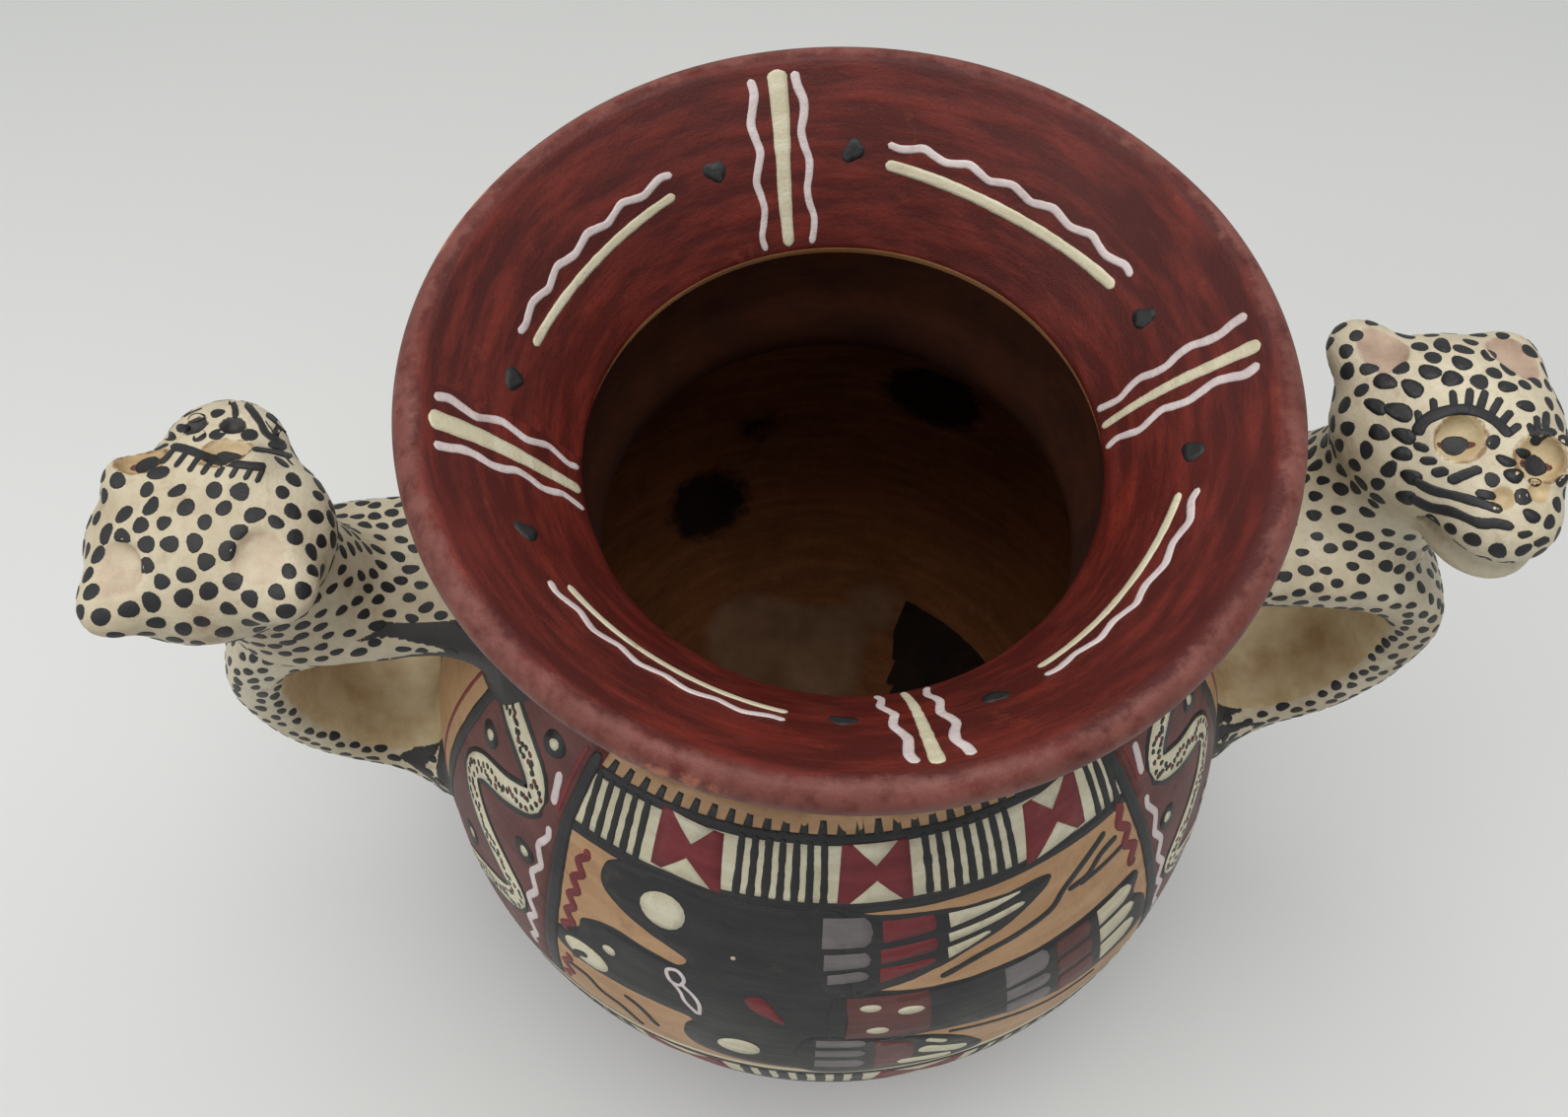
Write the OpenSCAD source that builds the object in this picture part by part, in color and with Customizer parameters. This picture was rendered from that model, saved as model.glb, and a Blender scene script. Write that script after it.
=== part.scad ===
// Pottery jar with a flared rim and two strap handles, each carrying the head of a spotted cat.
// It is fired clay in one piece: the wall is turned about Z and the handles are luted on.
// The origin is the centre of the base, Z is up, X runs through both handles, and the
// front of the jar faces -Y. All lengths are in millimetres and all angles in degrees.

/* [Rim] */
// Outer diameter of the rim
rim_d = 150; // [142:1:158]
// Thickness of the rounded lip
lip_t = 7.5; // [6:0.5:9]
// Inner diameter at the edge of the throat
throat_d = 94; // [86:1:100]
// Depth of the throat's edge below the middle of the lip
throat_depth = 23.5; // [20:0.5:28]
// Rise of the funnel's face above a straight cone
funnel_bow = 1.5; // [0:0.25:3]
// Height of the bare edge below the funnel
throat_edge = 2; // [1:0.25:3]

/* [Body] */
// Height from the base to the top of the lip
jar_h = 229; // [222:1:236]
// Greatest diameter of the belly
belly_d = 188; // [182:1:194]
// Height of the belly's widest place
belly_z = 92; // [88:1:96]
// Diameter of the flat base
base_d = 84; // [76:1:92]
// Outer diameter of the neck where it is narrowest
neck_d = 110; // [107:1:114]
// Depth of the narrowest place of the neck below the top of the lip
neck_depth = 39; // [36:1:42]
// Thickness of the wall
wall_t = 6.5; // [5:0.5:8]
// Thickness of the bottom
floor_t = 8; // [6:0.5:11]

/* [Handles] */
// Width of a strap
strap_w = 36; // [32:1:40]
// Thickness of a strap at its roots
strap_t = 12; // [10:0.5:13]
// Thickness of a strap at its bow
bow_t = 15; // [13:0.5:16]
// Widening of a strap at each side where it meets the wall
root_flare = 6; // [3:0.5:8]

/* [Right handle] */
// Distance of the strap's outer face beyond the belly
right_reach = 36.5; // [34:0.5:39]
// Depth of the middle of the strap's top arm below the narrowest place of the neck
right_arm_drop = 19; // [16:1:22]
// Height of the middle of the strap's lower root above the belly's widest place
right_root_rise = 6; // [2:1:10]
// Distance of the head's middle beyond the belly
right_head_out = 22; // [19.5:0.5:24.5]
// Distance of the head's middle behind the middle of the strap
right_head_back = 4.5; // [3:0.5:6]
// Turn of the skull away from the jar
right_skull_turn = -8; // [-14:1:-2]
// Turn of the muzzle on the skull
right_face_turn = 16; // [10:1:22]
// Shift of the muzzle away from the jar
right_face_shift = 3; // [1:0.5:4]
// Turn of the line through the eyes
right_eye_turn = -11; // [-14:1:-2]
// Shift of the eyes away from the jar
right_eye_shift = 3.5; // [2:0.5:5]
// Shift of the ears away from the jar
right_ear_shift = -3; // [-4:0.5:-1]

/* [Left handle] */
// Distance of the strap's outer face beyond the belly
left_reach = 38.5; // [36:0.5:41]
// Depth of the middle of the strap's top arm below the narrowest place of the neck
left_arm_drop = 30; // [27:1:33]
// Height of the middle of the strap's lower root above the belly's widest place
left_root_rise = -1; // [-4:1:3]
// Distance of the head's middle beyond the belly
left_head_out = 21.5; // [19:0.5:24]
// Distance of the head's middle behind the middle of the strap
left_head_back = 6.5; // [5:0.5:8]
// Turn of the skull away from the jar
left_skull_turn = 3; // [-3:1:9]
// Turn of the muzzle on the skull
left_face_turn = -5; // [-10:1:2]
// Shift of the muzzle away from the jar
left_face_shift = 0; // [-2:0.5:2]
// Turn of the line through the eyes
left_eye_turn = 0; // [-6:1:6]
// Shift of the eyes away from the jar
left_eye_shift = 2; // [0:0.5:4]
// Shift of the ears away from the jar
left_ear_shift = -0.5; // [-2:0.5:1]

/* [Cat heads] */
// Length of a head from the back of the skull to the lip
head_l = 49; // [46:1:52]
// Width of a head
head_w = 45; // [42:1:48]
// Height of a head's middle above the narrowest place of the neck
head_rise = 2; // [0:1:4]
// Diameter of an eye hollow
eye_d = 9; // [8:0.5:10.5]
// Depth of an eye hollow
eye_depth = 2.6; // [1.6:0.1:3.4]
// Diameter of a nostril
nostril_d = 3.6; // [2.6:0.1:4.4]
// Height of the groove between the lips
mouth_gap = 2.8; // [1.8:0.1:3.6]

/* [Hidden] */
CLAY = "peru";

lip_r = lip_t / 2;
lip_mid = rim_d / 2 - lip_r;
lip_z = jar_h - lip_r;
throat_r = throat_d / 2;
throat_z = lip_z - throat_depth;
belly_r = belly_d / 2;
base_r = base_d / 2;
neck_r = neck_d / 2;
neck_z = jar_h - neck_depth;
head_z = neck_z + head_rise;

// The full upper curve of the belly ends a little below the narrowest place of the neck
shoulder_rise = neck_z - belly_z - 2;
belly_drop = belly_z / sqrt(1 - pow(base_r / belly_r, 2));

// A point at share u of the cubic curve through a and d, drawn towards b and c
function bez(a, b, c, d, u) =
  pow(1 - u, 3) * a + 3 * u * pow(1 - u, 2) * b + 3 * u * u * (1 - u) * c + pow(u, 3) * d;
function curve(a, b, c, d, n) = [for (i = [0:n]) bez(a, b, c, d, i / n)];

// Outline of the belly from its lower angle to its upper one, thinned by t
function belly(a0, a1, n, t = 0) = [
  for (i = [0:n])
    let (a = a0 + (a1 - a0) * i / n, rise = a < 0 ? belly_drop : shoulder_rise)
      [(belly_r - t) * cos(a), belly_z + (rise - t) * sin(a)]
];

shoulder_a = 51;
base_a = -asin(belly_z / belly_drop);
shoulder = belly(shoulder_a, shoulder_a, 1)[0];
shoulder_dir = [-belly_r * sin(shoulder_a), shoulder_rise * cos(shoulder_a)];
under_a = -52;
under_lip = [lip_mid + lip_r * cos(under_a), lip_z + lip_r * sin(under_a)];
under_dir = [sin(under_a), -cos(under_a)];
top_a = 122;
top_lip = [lip_mid + lip_r * cos(top_a), lip_z + lip_r * sin(top_a)];
throat = [throat_r, throat_z];
cone = top_lip - throat;
cone_up = [-cone.y, cone.x] / norm(cone);

outer = concat(
  [[0, 0]],
  belly(base_a, shoulder_a, 44),
  curve(shoulder, shoulder + shoulder_dir * 0.1, [neck_r, neck_z - 9], [neck_r, neck_z], 10),
  curve([neck_r, neck_z], [neck_r, neck_z + 8], under_lip + under_dir * 16, under_lip, 10),
  [for (a = [under_a + 12:12:top_a - 6]) [lip_mid + lip_r * cos(a), lip_z + lip_r * sin(a)]],
  [top_lip, [0, lip_z]]
);

inner_a = 53;
inner_top = belly(inner_a, inner_a, 1, wall_t)[0];
inner_dir = [-(belly_r - wall_t) * sin(inner_a), (shoulder_rise - wall_t) * cos(inner_a)];
inner_neck = [neck_r - wall_t, neck_z - 2];
edge_foot = [throat_r + 0.6, throat_z - throat_edge];
floor_a = -asin((belly_z - floor_t - 3) / (belly_drop - wall_t));

cavity = concat(
  [[0, floor_t]],
  [[belly(floor_a, floor_a, 1, wall_t)[0].x - 8, floor_t]],
  belly(floor_a, inner_a, 40, wall_t),
  curve(inner_top, inner_top + inner_dir * 0.15, inner_neck - [0, 7], inner_neck, 8),
  [edge_foot, throat],
  [for (i = [1:11]) throat + cone * i / 12 + cone_up * funnel_bow * sin(180 * i / 12)],
  [top_lip, top_lip + cone_up * 4, [0, jar_h + 4]]
);

// Middle line of a strap, from the wall out to its reach and back to the wall
arm_start = neck_r - 1;
arm_pull = 54;
arm_rise = 3;
bow_pull = 20;
bow_lift = 7;
root_end = belly_r - 10;
root_pull = 35;
root_sag = 2;
half_n = 12;
strap_n = 2 * half_n + 1;
function strap_line(reach, arm_z, root_z) =
  let (
    bow = [belly_r + reach - bow_t / 2, (arm_z + root_z) / 2 + bow_lift],
    top = [arm_start, arm_z - arm_rise],
    low = [root_end, root_z]
  )
    concat(
      curve(top, top + [arm_pull, arm_rise * 2], bow + [0, bow_pull], bow, half_n),
      [for (i = [1:half_n]) bez(bow, bow - [0, bow_pull], low + [root_pull, -root_sag], low, i / half_n)]
    );

// How much of the flare is left at a distance from the wall
flare_l = 16;
function wall_x(z) =
  belly_r * sqrt(1 - pow((z - belly_z) / (z < belly_z ? belly_drop : shoulder_rise), 2));
function flare(p) = pow(min(1, max(0, 1 - (p.x - wall_x(p.y)) / flare_l)), 2);
function along(line, i) =
  let (d = line[min(i + 1, strap_n - 1)] - line[max(i - 1, 0)]) d / norm(d);

// One rounded section of the strap: flat faces and soft edges
sides = 16;
function soft(x) = sign(x) * pow(abs(x), 0.62);
function section(line, i) =
  let (
    p = line[i],
    d = along(line, i),
    swell = pow(sin(180 * i / (strap_n - 1)), 2),
    w = strap_w / 2 + root_flare * flare(p),
    t = (strap_t + (bow_t - strap_t) * swell) / 2 + root_flare * 0.6 * flare(p)
  )
    [
      for (k = [0:sides - 1])
        let (a = 360 * k / sides, u = w * soft(cos(a)), v = t * soft(sin(a)))
          [p.x - d.y * v, u, p.y + d.x * v]
    ];

module strap(line) {
  rings = [for (i = [0:strap_n - 1]) each section(line, i)];
  walls = [
    for (i = [0:strap_n - 2], k = [0:sides - 1])
      let (a = i * sides + k, b = i * sides + (k + 1) % sides)
        each [[a, b + sides, b], [a, a + sides, b + sides]]
  ];
  ends = [[for (k = [0:sides - 1]) k], [for (k = [sides - 1:-1:0]) (strap_n - 1) * sides + k]];
  polyhedron(points = rings, faces = concat(walls, ends), convexity = 6);
}

// An egg of three half-axes about a place
module egg(place, axes, n) {
  translate(place) scale(axes) sphere(r = 1, $fn = n);
}

// A head looks along +X here, and its middle is at the origin
module skull() {
  egg([-2.5, 0, 0], [20, 22.5, 14], 32);
}

module neck(drop) {
  hull() {
    translate([1, -9, -drop]) scale([15, 18, 1]) cylinder(r = 1, h = 1, $fn = 28);
    translate([-1, -3, -5]) scale([13, 15, 1]) cylinder(r = 1, h = 1, $fn = 28);
  }
}

ear_gap = 13;
module ears() {
  for (side = [-1, 1]) {
    translate([-14, side * ear_gap, 4.5]) rotate([0, 0, side * -35]) egg([0, 0, 0], [9, 7.5, 5.2], 20);
  }
}

module ear_hollows() {
  for (side = [-1, 1]) {
    egg([-13, side * ear_gap, 10.6], [5.5, 5, 1.6], 16);
  }
}

eye_x = 8.5;
eye_gap = 7.3;
module brows() {
  for (side = [-1, 1]) {
    egg([-2.5, side * (eye_gap + 1), 8.5], [6, 7, 5.5], 20);
  }
}

module eye_hollows() {
  for (side = [-1, 1]) {
    translate([0, side * eye_gap, 11.8]) rotate([side * -20, 20, 0]) {
      egg([0, 0, 0], [eye_d / 2, eye_d / 2, eye_depth], 20);
    }
  }
}

module muzzle() {
  egg([14, 0, 1.5], [12.5, 12.2, 8], 28);
  egg([12, 0, -6.2], [14, 11.8, 6], 28);
}

// The groove between the lips runs this far to each side of the muzzle's middle
mouth_a = 85;
module mouth_and_nostrils() {
  for (side = [-1, 1]) {
    translate([17, side * 3.6, 9.2]) sphere(d = nostril_d, $fn = 14);
  }
  translate([12.5, 0, -2.2]) scale([1, 0.88, 1]) rotate([0, 0, -mouth_a]) {
    rotate_extrude(angle = 2 * mouth_a, $fn = 40) translate([13.6, 0]) circle(d = mouth_gap, $fn = 8);
  }
}

module head(face_turn, face_shift, eye_turn, eye_shift, ear_shift) {
  resize([head_l, head_w, 0]) difference() {
    union() {
      skull();
      translate([0, ear_shift, 0]) ears();
      translate([eye_x, eye_shift, 0]) rotate([0, 0, eye_turn]) brows();
      translate([0, face_shift, 0]) rotate([0, 0, face_turn]) muzzle();
    }
    translate([0, ear_shift, 0]) ear_hollows();
    translate([eye_x, eye_shift, 0]) rotate([0, 0, eye_turn]) eye_hollows();
    translate([0, face_shift, 0]) rotate([0, 0, face_turn]) mouth_and_nostrils();
  }
}

// A strap handle with the neck and head on its arm
module handle(
  reach, arm_drop, root_rise, head_out, head_back, skull_turn,
  face_turn, face_shift, eye_turn, eye_shift, ear_shift
) {
  strap(strap_line(reach, neck_z - arm_drop, belly_z + root_rise));
  translate([belly_r + head_out, head_back, head_z]) rotate([0, 0, skull_turn - 90]) {
    neck(head_rise + arm_drop);
    head(face_turn, face_shift, eye_turn, eye_shift, ear_shift);
  }
}

module vase() {
  color(CLAY) difference() {
    union() {
      rotate_extrude($fn = 128) polygon(outer);
      handle(
        right_reach, right_arm_drop, right_root_rise, right_head_out, right_head_back, right_skull_turn,
        right_face_turn, right_face_shift, right_eye_turn, right_eye_shift, right_ear_shift
      );
      rotate([0, 0, 180]) handle(
        left_reach, left_arm_drop, left_root_rise, left_head_out, left_head_back, left_skull_turn,
        left_face_turn, left_face_shift, left_eye_turn, left_eye_shift, left_ear_shift
      );
    }
    rotate_extrude($fn = 128) polygon(cavity);
  }
}

vase();
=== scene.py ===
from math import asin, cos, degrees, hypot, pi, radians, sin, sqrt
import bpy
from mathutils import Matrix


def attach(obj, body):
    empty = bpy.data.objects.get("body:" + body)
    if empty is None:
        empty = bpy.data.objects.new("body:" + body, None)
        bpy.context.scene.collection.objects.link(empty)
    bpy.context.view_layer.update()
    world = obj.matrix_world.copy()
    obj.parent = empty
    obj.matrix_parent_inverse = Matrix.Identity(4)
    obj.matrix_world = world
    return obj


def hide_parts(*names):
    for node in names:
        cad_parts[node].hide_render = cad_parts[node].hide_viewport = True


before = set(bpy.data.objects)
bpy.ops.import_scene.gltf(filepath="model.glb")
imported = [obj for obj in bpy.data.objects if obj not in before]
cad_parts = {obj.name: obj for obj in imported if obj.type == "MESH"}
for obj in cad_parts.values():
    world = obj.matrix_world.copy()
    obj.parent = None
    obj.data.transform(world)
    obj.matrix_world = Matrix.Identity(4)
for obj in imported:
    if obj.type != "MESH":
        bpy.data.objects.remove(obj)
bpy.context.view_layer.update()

# The looks of a painted pottery jar with a flared rim and two handles that carry cat heads.
# Sizes are in millimetres and angles in degrees until a mesh is made. The frame is in metres.
from types import SimpleNamespace

import bpy
import numpy as np
from mathutils import Matrix, Vector
from mathutils.bvhtree import BVHTree
from mathutils.geometry import delaunay_2d_cdt
from mathutils.kdtree import KDTree

MM = 0.001

# Rim
LIP_T = 7.5
RIM_R = 75.0
JAR_H = 229.0
THROAT = np.array([47.0, 201.75])
FUNNEL_BOW = 1.5
THROAT_EDGE = 2.0

# Body
BELLY_R = 94.0
BELLY_Z = 92.0
BASE_R = 42.0
NECK_R = 55.0
NECK_Z = 190.0
WALL = 6.5
FLOOR = 8.0
SHOULDER_RISE = NECK_Z - BELLY_Z - 2.0
BELLY_DROP = BELLY_Z / sqrt(1 - (BASE_R / BELLY_R) ** 2)
SHOULDER_A = 51.0
INNER_A = 53.0

# Heads, with their parts in the head's own frame: it looks along +X, and +Y is away from the jar
HEAD_L = 49.0
HEAD_W = 45.0
HEAD_Z = 192.0
EYE_R = 4.4
EYE_DEPTH = 2.5
NOSTRIL_R = 1.8
MOUTH_GAP = 2.8
EAR_GAP = 13.0
EYE_X = 8.5
EYE_GAP = 7.3

# Straps
STRAP_W = 36.0
STRAP_T = 12.0
BOW_T = 15.0
ROOT_FLARE = 6.0
FLARE_L = 16.0
SOFT_EDGE = 1 / 0.62

RIGHT = SimpleNamespace(
    name="right", flip=1, reach=130.5, arm_z=171.0, root_z=98.0, head_x=116.0, head_back=4.5,
    skull_turn=-8.0, face_turn=16.0, face_shift=3.0, eye_turn=-11.0, eye_shift=3.5, ear_shift=-3.0,
    ear_tint=0.8, nose_black=0.0, spike_x=72.0,
)
LEFT = SimpleNamespace(
    name="left", flip=-1, reach=132.5, arm_z=160.0, root_z=91.0, head_x=115.5, head_back=6.5,
    skull_turn=3.0, face_turn=-5.0, face_shift=0.0, eye_turn=0.0, eye_shift=2.0, ear_shift=-0.5,
    ear_tint=0.45, nose_black=1.0, spike_x=76.0,
)

# Camera, whose lens and frame width are in pixels of the photo
CAMERA = (-0.01616, -0.13165, 0.41447)
CAMERA_RIGHT = Vector((0.999292, -0.037509, 0.002762))
CAMERA_UP = Vector((0.032024, 0.887073, 0.460516))
LENS_PX = 1400.0
FRAME_PX = 1591.0
FILM_WIDTH = 36.0

rng = np.random.default_rng(7)


# Arrays
def part(x):
    """A number kept between 0 and 1."""
    return np.clip(x, 0, 1)


def zigzag(x):
    """Teeth that rise from 0 to 1 and fall again in each unit."""
    return 1 - 2 * np.abs(x - np.floor(x) - 0.5)


def length(rows):
    return np.linalg.norm(rows, axis=1)


def columns(*parts):
    return np.stack(parts, -1)


# Curves
def bez(a, b, c, d, n):
    """Points of the cubic curve through a and d, drawn towards b and c."""
    a, b, c, d = [np.array(q, float) for q in (a, b, c, d)]
    u = np.linspace(0, 1, n + 1)[:, None]
    return (1 - u) ** 3 * a + 3 * u * (1 - u) ** 2 * b + 3 * u * u * (1 - u) * c + u ** 3 * d


def lip(angle):
    r, a = LIP_T / 2, radians(angle)
    return np.array([RIM_R - r + r * cos(a), JAR_H - r + r * sin(a)])


def belly(a0, a1, n, thin=0.0):
    """Points of the belly's outline between two angles, on the inside where it is thinned."""
    a = np.radians(np.linspace(a0, a1, n + 1))
    rise = np.where(a < 0, BELLY_DROP, SHOULDER_RISE) - thin
    return columns((BELLY_R - thin) * np.cos(a), BELLY_Z + rise * np.sin(a))


def belly_run(angle, thin=0.0):
    """Which way the belly's outline runs above its widest place."""
    a = radians(angle)
    return np.array([-(BELLY_R - thin) * sin(a), (SHOULDER_RISE - thin) * cos(a)])


def smooth(points, closed=True, step=1.5):
    """Points about a step apart on a smooth curve through the given ones."""
    p = np.array(points, float)
    q = np.vstack([p[-1:], p, p[:2]]) if closed else np.vstack([p[:1], p, p[-1:]])
    out = []
    for a, b, c, d in zip(q, q[1:], q[2:], q[3:]):
        k = max(2, int(np.linalg.norm(c - b) / step) + 1)
        for t in np.linspace(0, 1, k, endpoint=False):
            out.append(b + 0.5 * t * (c - a + t * (2 * a - 5 * b + 4 * c - d + t * (3 * (b - c) + d - a))))
    return np.array(out if closed else out + [p[-1]])


# Outline of the jar
TOP_LIP = lip(122)
CONE = TOP_LIP - THROAT
CONE_UP = np.array([-CONE[1], CONE[0]]) / np.linalg.norm(CONE)
SHARE = np.linspace(0, 1, 33)[:, None]
FUNNEL = THROAT + CONE * SHARE + CONE_UP * FUNNEL_BOW * np.sin(pi * SHARE)
UNDER_A = -52
UNDER_LIP = lip(UNDER_A)
UNDER_DIR = np.array([sin(radians(UNDER_A)), -cos(radians(UNDER_A))])
SHOULDER = belly(SHOULDER_A, SHOULDER_A, 1)[0]
BASE_A = -degrees(asin(BELLY_Z / BELLY_DROP))
NECK = np.array([NECK_R, NECK_Z])
OUTSIDE = np.vstack([
    [lip(a) for a in range(90, UNDER_A, -6)],
    bez(UNDER_LIP, UNDER_LIP + UNDER_DIR * 16, NECK + [0, 8], NECK, 24),
    bez(NECK, NECK - [0, 9], SHOULDER + belly_run(SHOULDER_A) * 0.1, SHOULDER, 20)[1:],
    belly(SHOULDER_A, BASE_A, 84)[1:],
])
SKIN = np.vstack([FUNNEL, [lip(a) for a in range(116, 90, -6)], OUTSIDE])
INNER_TOP = belly(INNER_A, INNER_A, 1, WALL)[0]
INNER_NECK = np.array([NECK_R - WALL, NECK_Z - 2])
FLOOR_A = -degrees(asin((BELLY_Z - FLOOR - 3) / (BELLY_DROP - WALL)))
EDGE_FOOT = THROAT + [0.6, -THROAT_EDGE]
INSIDE = np.vstack([
    THROAT + [0.3, -THROAT_EDGE * 0.5],
    EDGE_FOOT,
    bez(INNER_NECK, INNER_NECK - [0, 7], INNER_TOP + belly_run(INNER_A, WALL) * 0.15, INNER_TOP, 14),
    belly(INNER_A, FLOOR_A, 60, WALL)[1:],
    [[belly(FLOOR_A, FLOOR_A, 1, WALL)[0][0] - 8, FLOOR]],
])


class Turned:
    """A turned surface, with its azimuth in degrees and its arc in millimetres as a chart.

    The hand of a chart says which way round its faces of slip are wound.
    """

    group = "jar"
    hand = -1

    def __init__(self, line, start):
        arc = np.r_[0, np.cumsum(length(np.diff(line, axis=0)))]
        self.line = line
        self.arc = arc - arc[start]
        d = np.gradient(line, axis=0)
        d /= length(d)[:, None]
        self.normal = columns(-d[:, 1], d[:, 0])

    def stretch(self, v):
        return radians(np.interp(v, self.arc, self.line[:, 0]))

    def dent(self, az, v):
        """How far the hand-smoothed wall lies under the true turned form, and nothing near the handles."""
        a = np.radians(az)
        wave = np.sin(3 * a + 0.7 + v / 23) + np.sin(5 * a - v / 15) + 0.7 * np.sin(v / 9 + 2 * a)
        calm = part((np.abs(np.sin(a)) - 0.42) / 0.3)
        return 0.02 + (0.1 + 0.08 * (2.7 + wave)) * calm

    def place(self, az, v, h):
        az, v = np.asarray(az, float), np.asarray(v, float)
        h = h - self.dent(az, v)
        reach = [np.interp(v, self.arc, self.normal[:, k]) * h for k in (0, 1)]
        r, z = [np.interp(v, self.arc, self.line[:, k]) + reach[k] for k in (0, 1)]
        return columns(r * np.cos(np.radians(az)), r * np.sin(np.radians(az)), z)


# The jar's arc counts from the top of the lip: above zero down the outside, below zero down the funnel
JAR = Turned(SKIN, len(SKIN) - len(OUTSIDE))


# Meshes
class Pile:
    """Points and faces that end up in one mesh."""

    def __init__(self):
        self.points = []
        self.faces = []
        self.count = 0

    def add(self, points, faces):
        self.faces += [tuple(int(i) + self.count for i in face) for face in faces]
        self.points.append(np.asarray(points, float))
        self.count += len(points)


def make_object(name, points, faces, materials, marks=None):
    mesh = bpy.data.meshes.new(name)
    mesh.from_pydata((np.asarray(points) * MM).tolist(), [], faces)
    for material in materials:
        mesh.materials.append(material)
    if marks is not None:
        mesh.polygons.foreach_set("material_index", np.asarray(marks, np.int32))
    mesh.polygons.foreach_set("use_smooth", [True] * len(mesh.polygons))
    mesh.update()
    obj = bpy.data.objects.new(name, mesh)
    bpy.context.scene.collection.objects.link(obj)
    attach(obj, "root")
    return obj


def mark_points(obj, name, values):
    """A number at each point of a mesh, for its material to read."""
    layer = obj.data.attributes.new(name, "FLOAT", "POINT")
    layer.data.foreach_set("value", np.asarray(values, np.float32))


PAINT = {}


def pile(surface, colour):
    return PAINT.setdefault((surface.group, colour), Pile())


SUNK = 0.1
SPOT_SIDES = 12


def lay(colour, surface, flat, triangles, height):
    """A thin closed field of slip on a surface, sunk a little into the clay."""
    n = len(flat)
    top = surface.place(flat[:, 0], flat[:, 1], height)
    bottom = surface.place(flat[:, 0], flat[:, 1], -SUNK)
    edges = dict.fromkeys(edge for a, b, c in triangles for edge in ((a, b), (b, c), (c, a)))
    rim = [edge for edge in edges if (edge[1], edge[0]) not in edges]
    faces = [tuple(t) for t in triangles]
    faces += [(c + n, b + n, a + n) for a, b, c in triangles]
    faces += [(b, a, a + n, b + n) for a, b in rim]
    pile(surface, colour).add(np.vstack([top, bottom]), [face[::surface.hand] for face in faces])


def inside(points, loop):
    """Which points lie inside a closed loop."""
    x, y = points[:, 0], points[:, 1]
    hit = np.zeros(len(points), bool)
    for (x0, y0), (x1, y1) in zip(loop, np.roll(loop, -1, axis=0)):
        cross = (y0 > y) != (y1 > y)
        span = y1 - y0 if y1 != y0 else 1.0
        hit ^= cross & (x < (x1 - x0) * (y - y0) / span + x0)
    return hit


SHAKE = 0.13


def field(colour, surface, outline, height, step=2.6):
    """A field of slip inside an outline drawn on a surface's chart."""
    outline = np.array(outline, float)
    scale = np.array([surface.stretch(outline[:, 1].mean()), 1.0])
    loop = outline * scale
    fine = []
    for a, b in zip(loop, np.roll(loop, -1, axis=0)):
        k = max(1, int(np.linalg.norm(b - a) / step))
        fine += [a + (b - a) * i / k for i in range(k)]
    fine = np.array(fine)
    n = len(fine)
    if n > 24:
        shake = rng.standard_normal((n, 2))
        shake = (shake + np.roll(shake, 1, axis=0) + np.roll(shake, 2, axis=0)) / 3
        fine += shake * SHAKE
    lo, hi = fine.min(axis=0), fine.max(axis=0)
    grid = np.stack(np.meshgrid(np.arange(lo[0], hi[0], step), np.arange(lo[1], hi[1], step)), -1)
    grid = grid.reshape(-1, 2) + step / 2
    grid = grid[inside(grid, fine)] if len(grid) else grid
    if len(grid):
        near = np.full(len(grid), 1e9)
        for p in fine:
            near = np.minimum(near, length(grid - p))
        grid = grid[near > step * 0.5]
    points = [Vector(p) for p in np.vstack([fine, grid])]
    flat, _, triangles, *_ = delaunay_2d_cdt(points, [], [list(range(n))], 1, 1e-5)
    lay(colour, surface, np.array([tuple(p) for p in flat]) / scale, triangles, height)


def stroke(colour, surface, path, width, height, crown=0.05, closed=False, rough=0.06, taper=0.0):
    """A brush stroke along a path, with round ends, an uneven edge and a raised middle."""
    path = np.array(path, float)
    scale = np.array([surface.stretch(path[:, 1].mean()), 1.0])
    line = smooth(path * scale, closed=closed, step=max(0.6, width * 0.35))
    d = np.gradient(line, axis=0)
    d /= length(d)[:, None] + 1e-9
    n = len(line)
    run = np.r_[0, np.cumsum(length(np.diff(line, axis=0)))]
    half = np.full(n, width / 2) * (1 + rough * rng.standard_normal(n))
    half = (half + np.roll(half, 1) + np.roll(half, -1)) / 3
    if not closed:
        left = np.minimum(run, run[-1] - run) / (width / 2)
        half *= np.sqrt(np.clip(1 - (1 - np.clip(left, 0.02, 1)) ** 2, 0.03, 1))
        half *= 1 - taper * run / run[-1]
    side = columns(-d[:, 1], d[:, 0]) * half[:, None]
    ridge = height + crown
    points, faces = [], []
    for k, h in ((-1, height), (-0.5, ridge), (0.5, ridge), (1, height), (1, -SUNK), (-1, -SUNK)):
        flat = (line + side * k) / scale
        points.append(surface.place(flat[:, 0], flat[:, 1], h))
    for i in range(n if closed else n - 1):
        j = (i + 1) % n
        for k in range(6):
            m = (k + 1) % 6
            faces.append((m * n + j, m * n + i, k * n + i, k * n + j))
    if not closed:
        faces.append(tuple(k * n for k in range(6)))
        faces.append(tuple(k * n + n - 1 for k in reversed(range(6))))
    pile(surface, colour).add(np.vstack(points), [face[::surface.hand] for face in faces])


def oval(surface, u, v, a, b, turn=0.0, rough=0.05, n=18):
    """Outline of a hand-painted oval, with its half-axes in millimetres."""
    t = np.linspace(0, 2 * pi, n, endpoint=False)
    wobble = 1 + rough * np.sin(2 * t + rng.uniform(0, 6)) + rough * np.sin(3 * t + rng.uniform(0, 6))
    x, y = a * np.cos(t) * wobble, b * np.sin(t) * wobble
    c, s = cos(radians(turn)), sin(radians(turn))
    return columns(u + (x * c - y * s) / surface.stretch(v), v + x * s + y * c)


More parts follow.
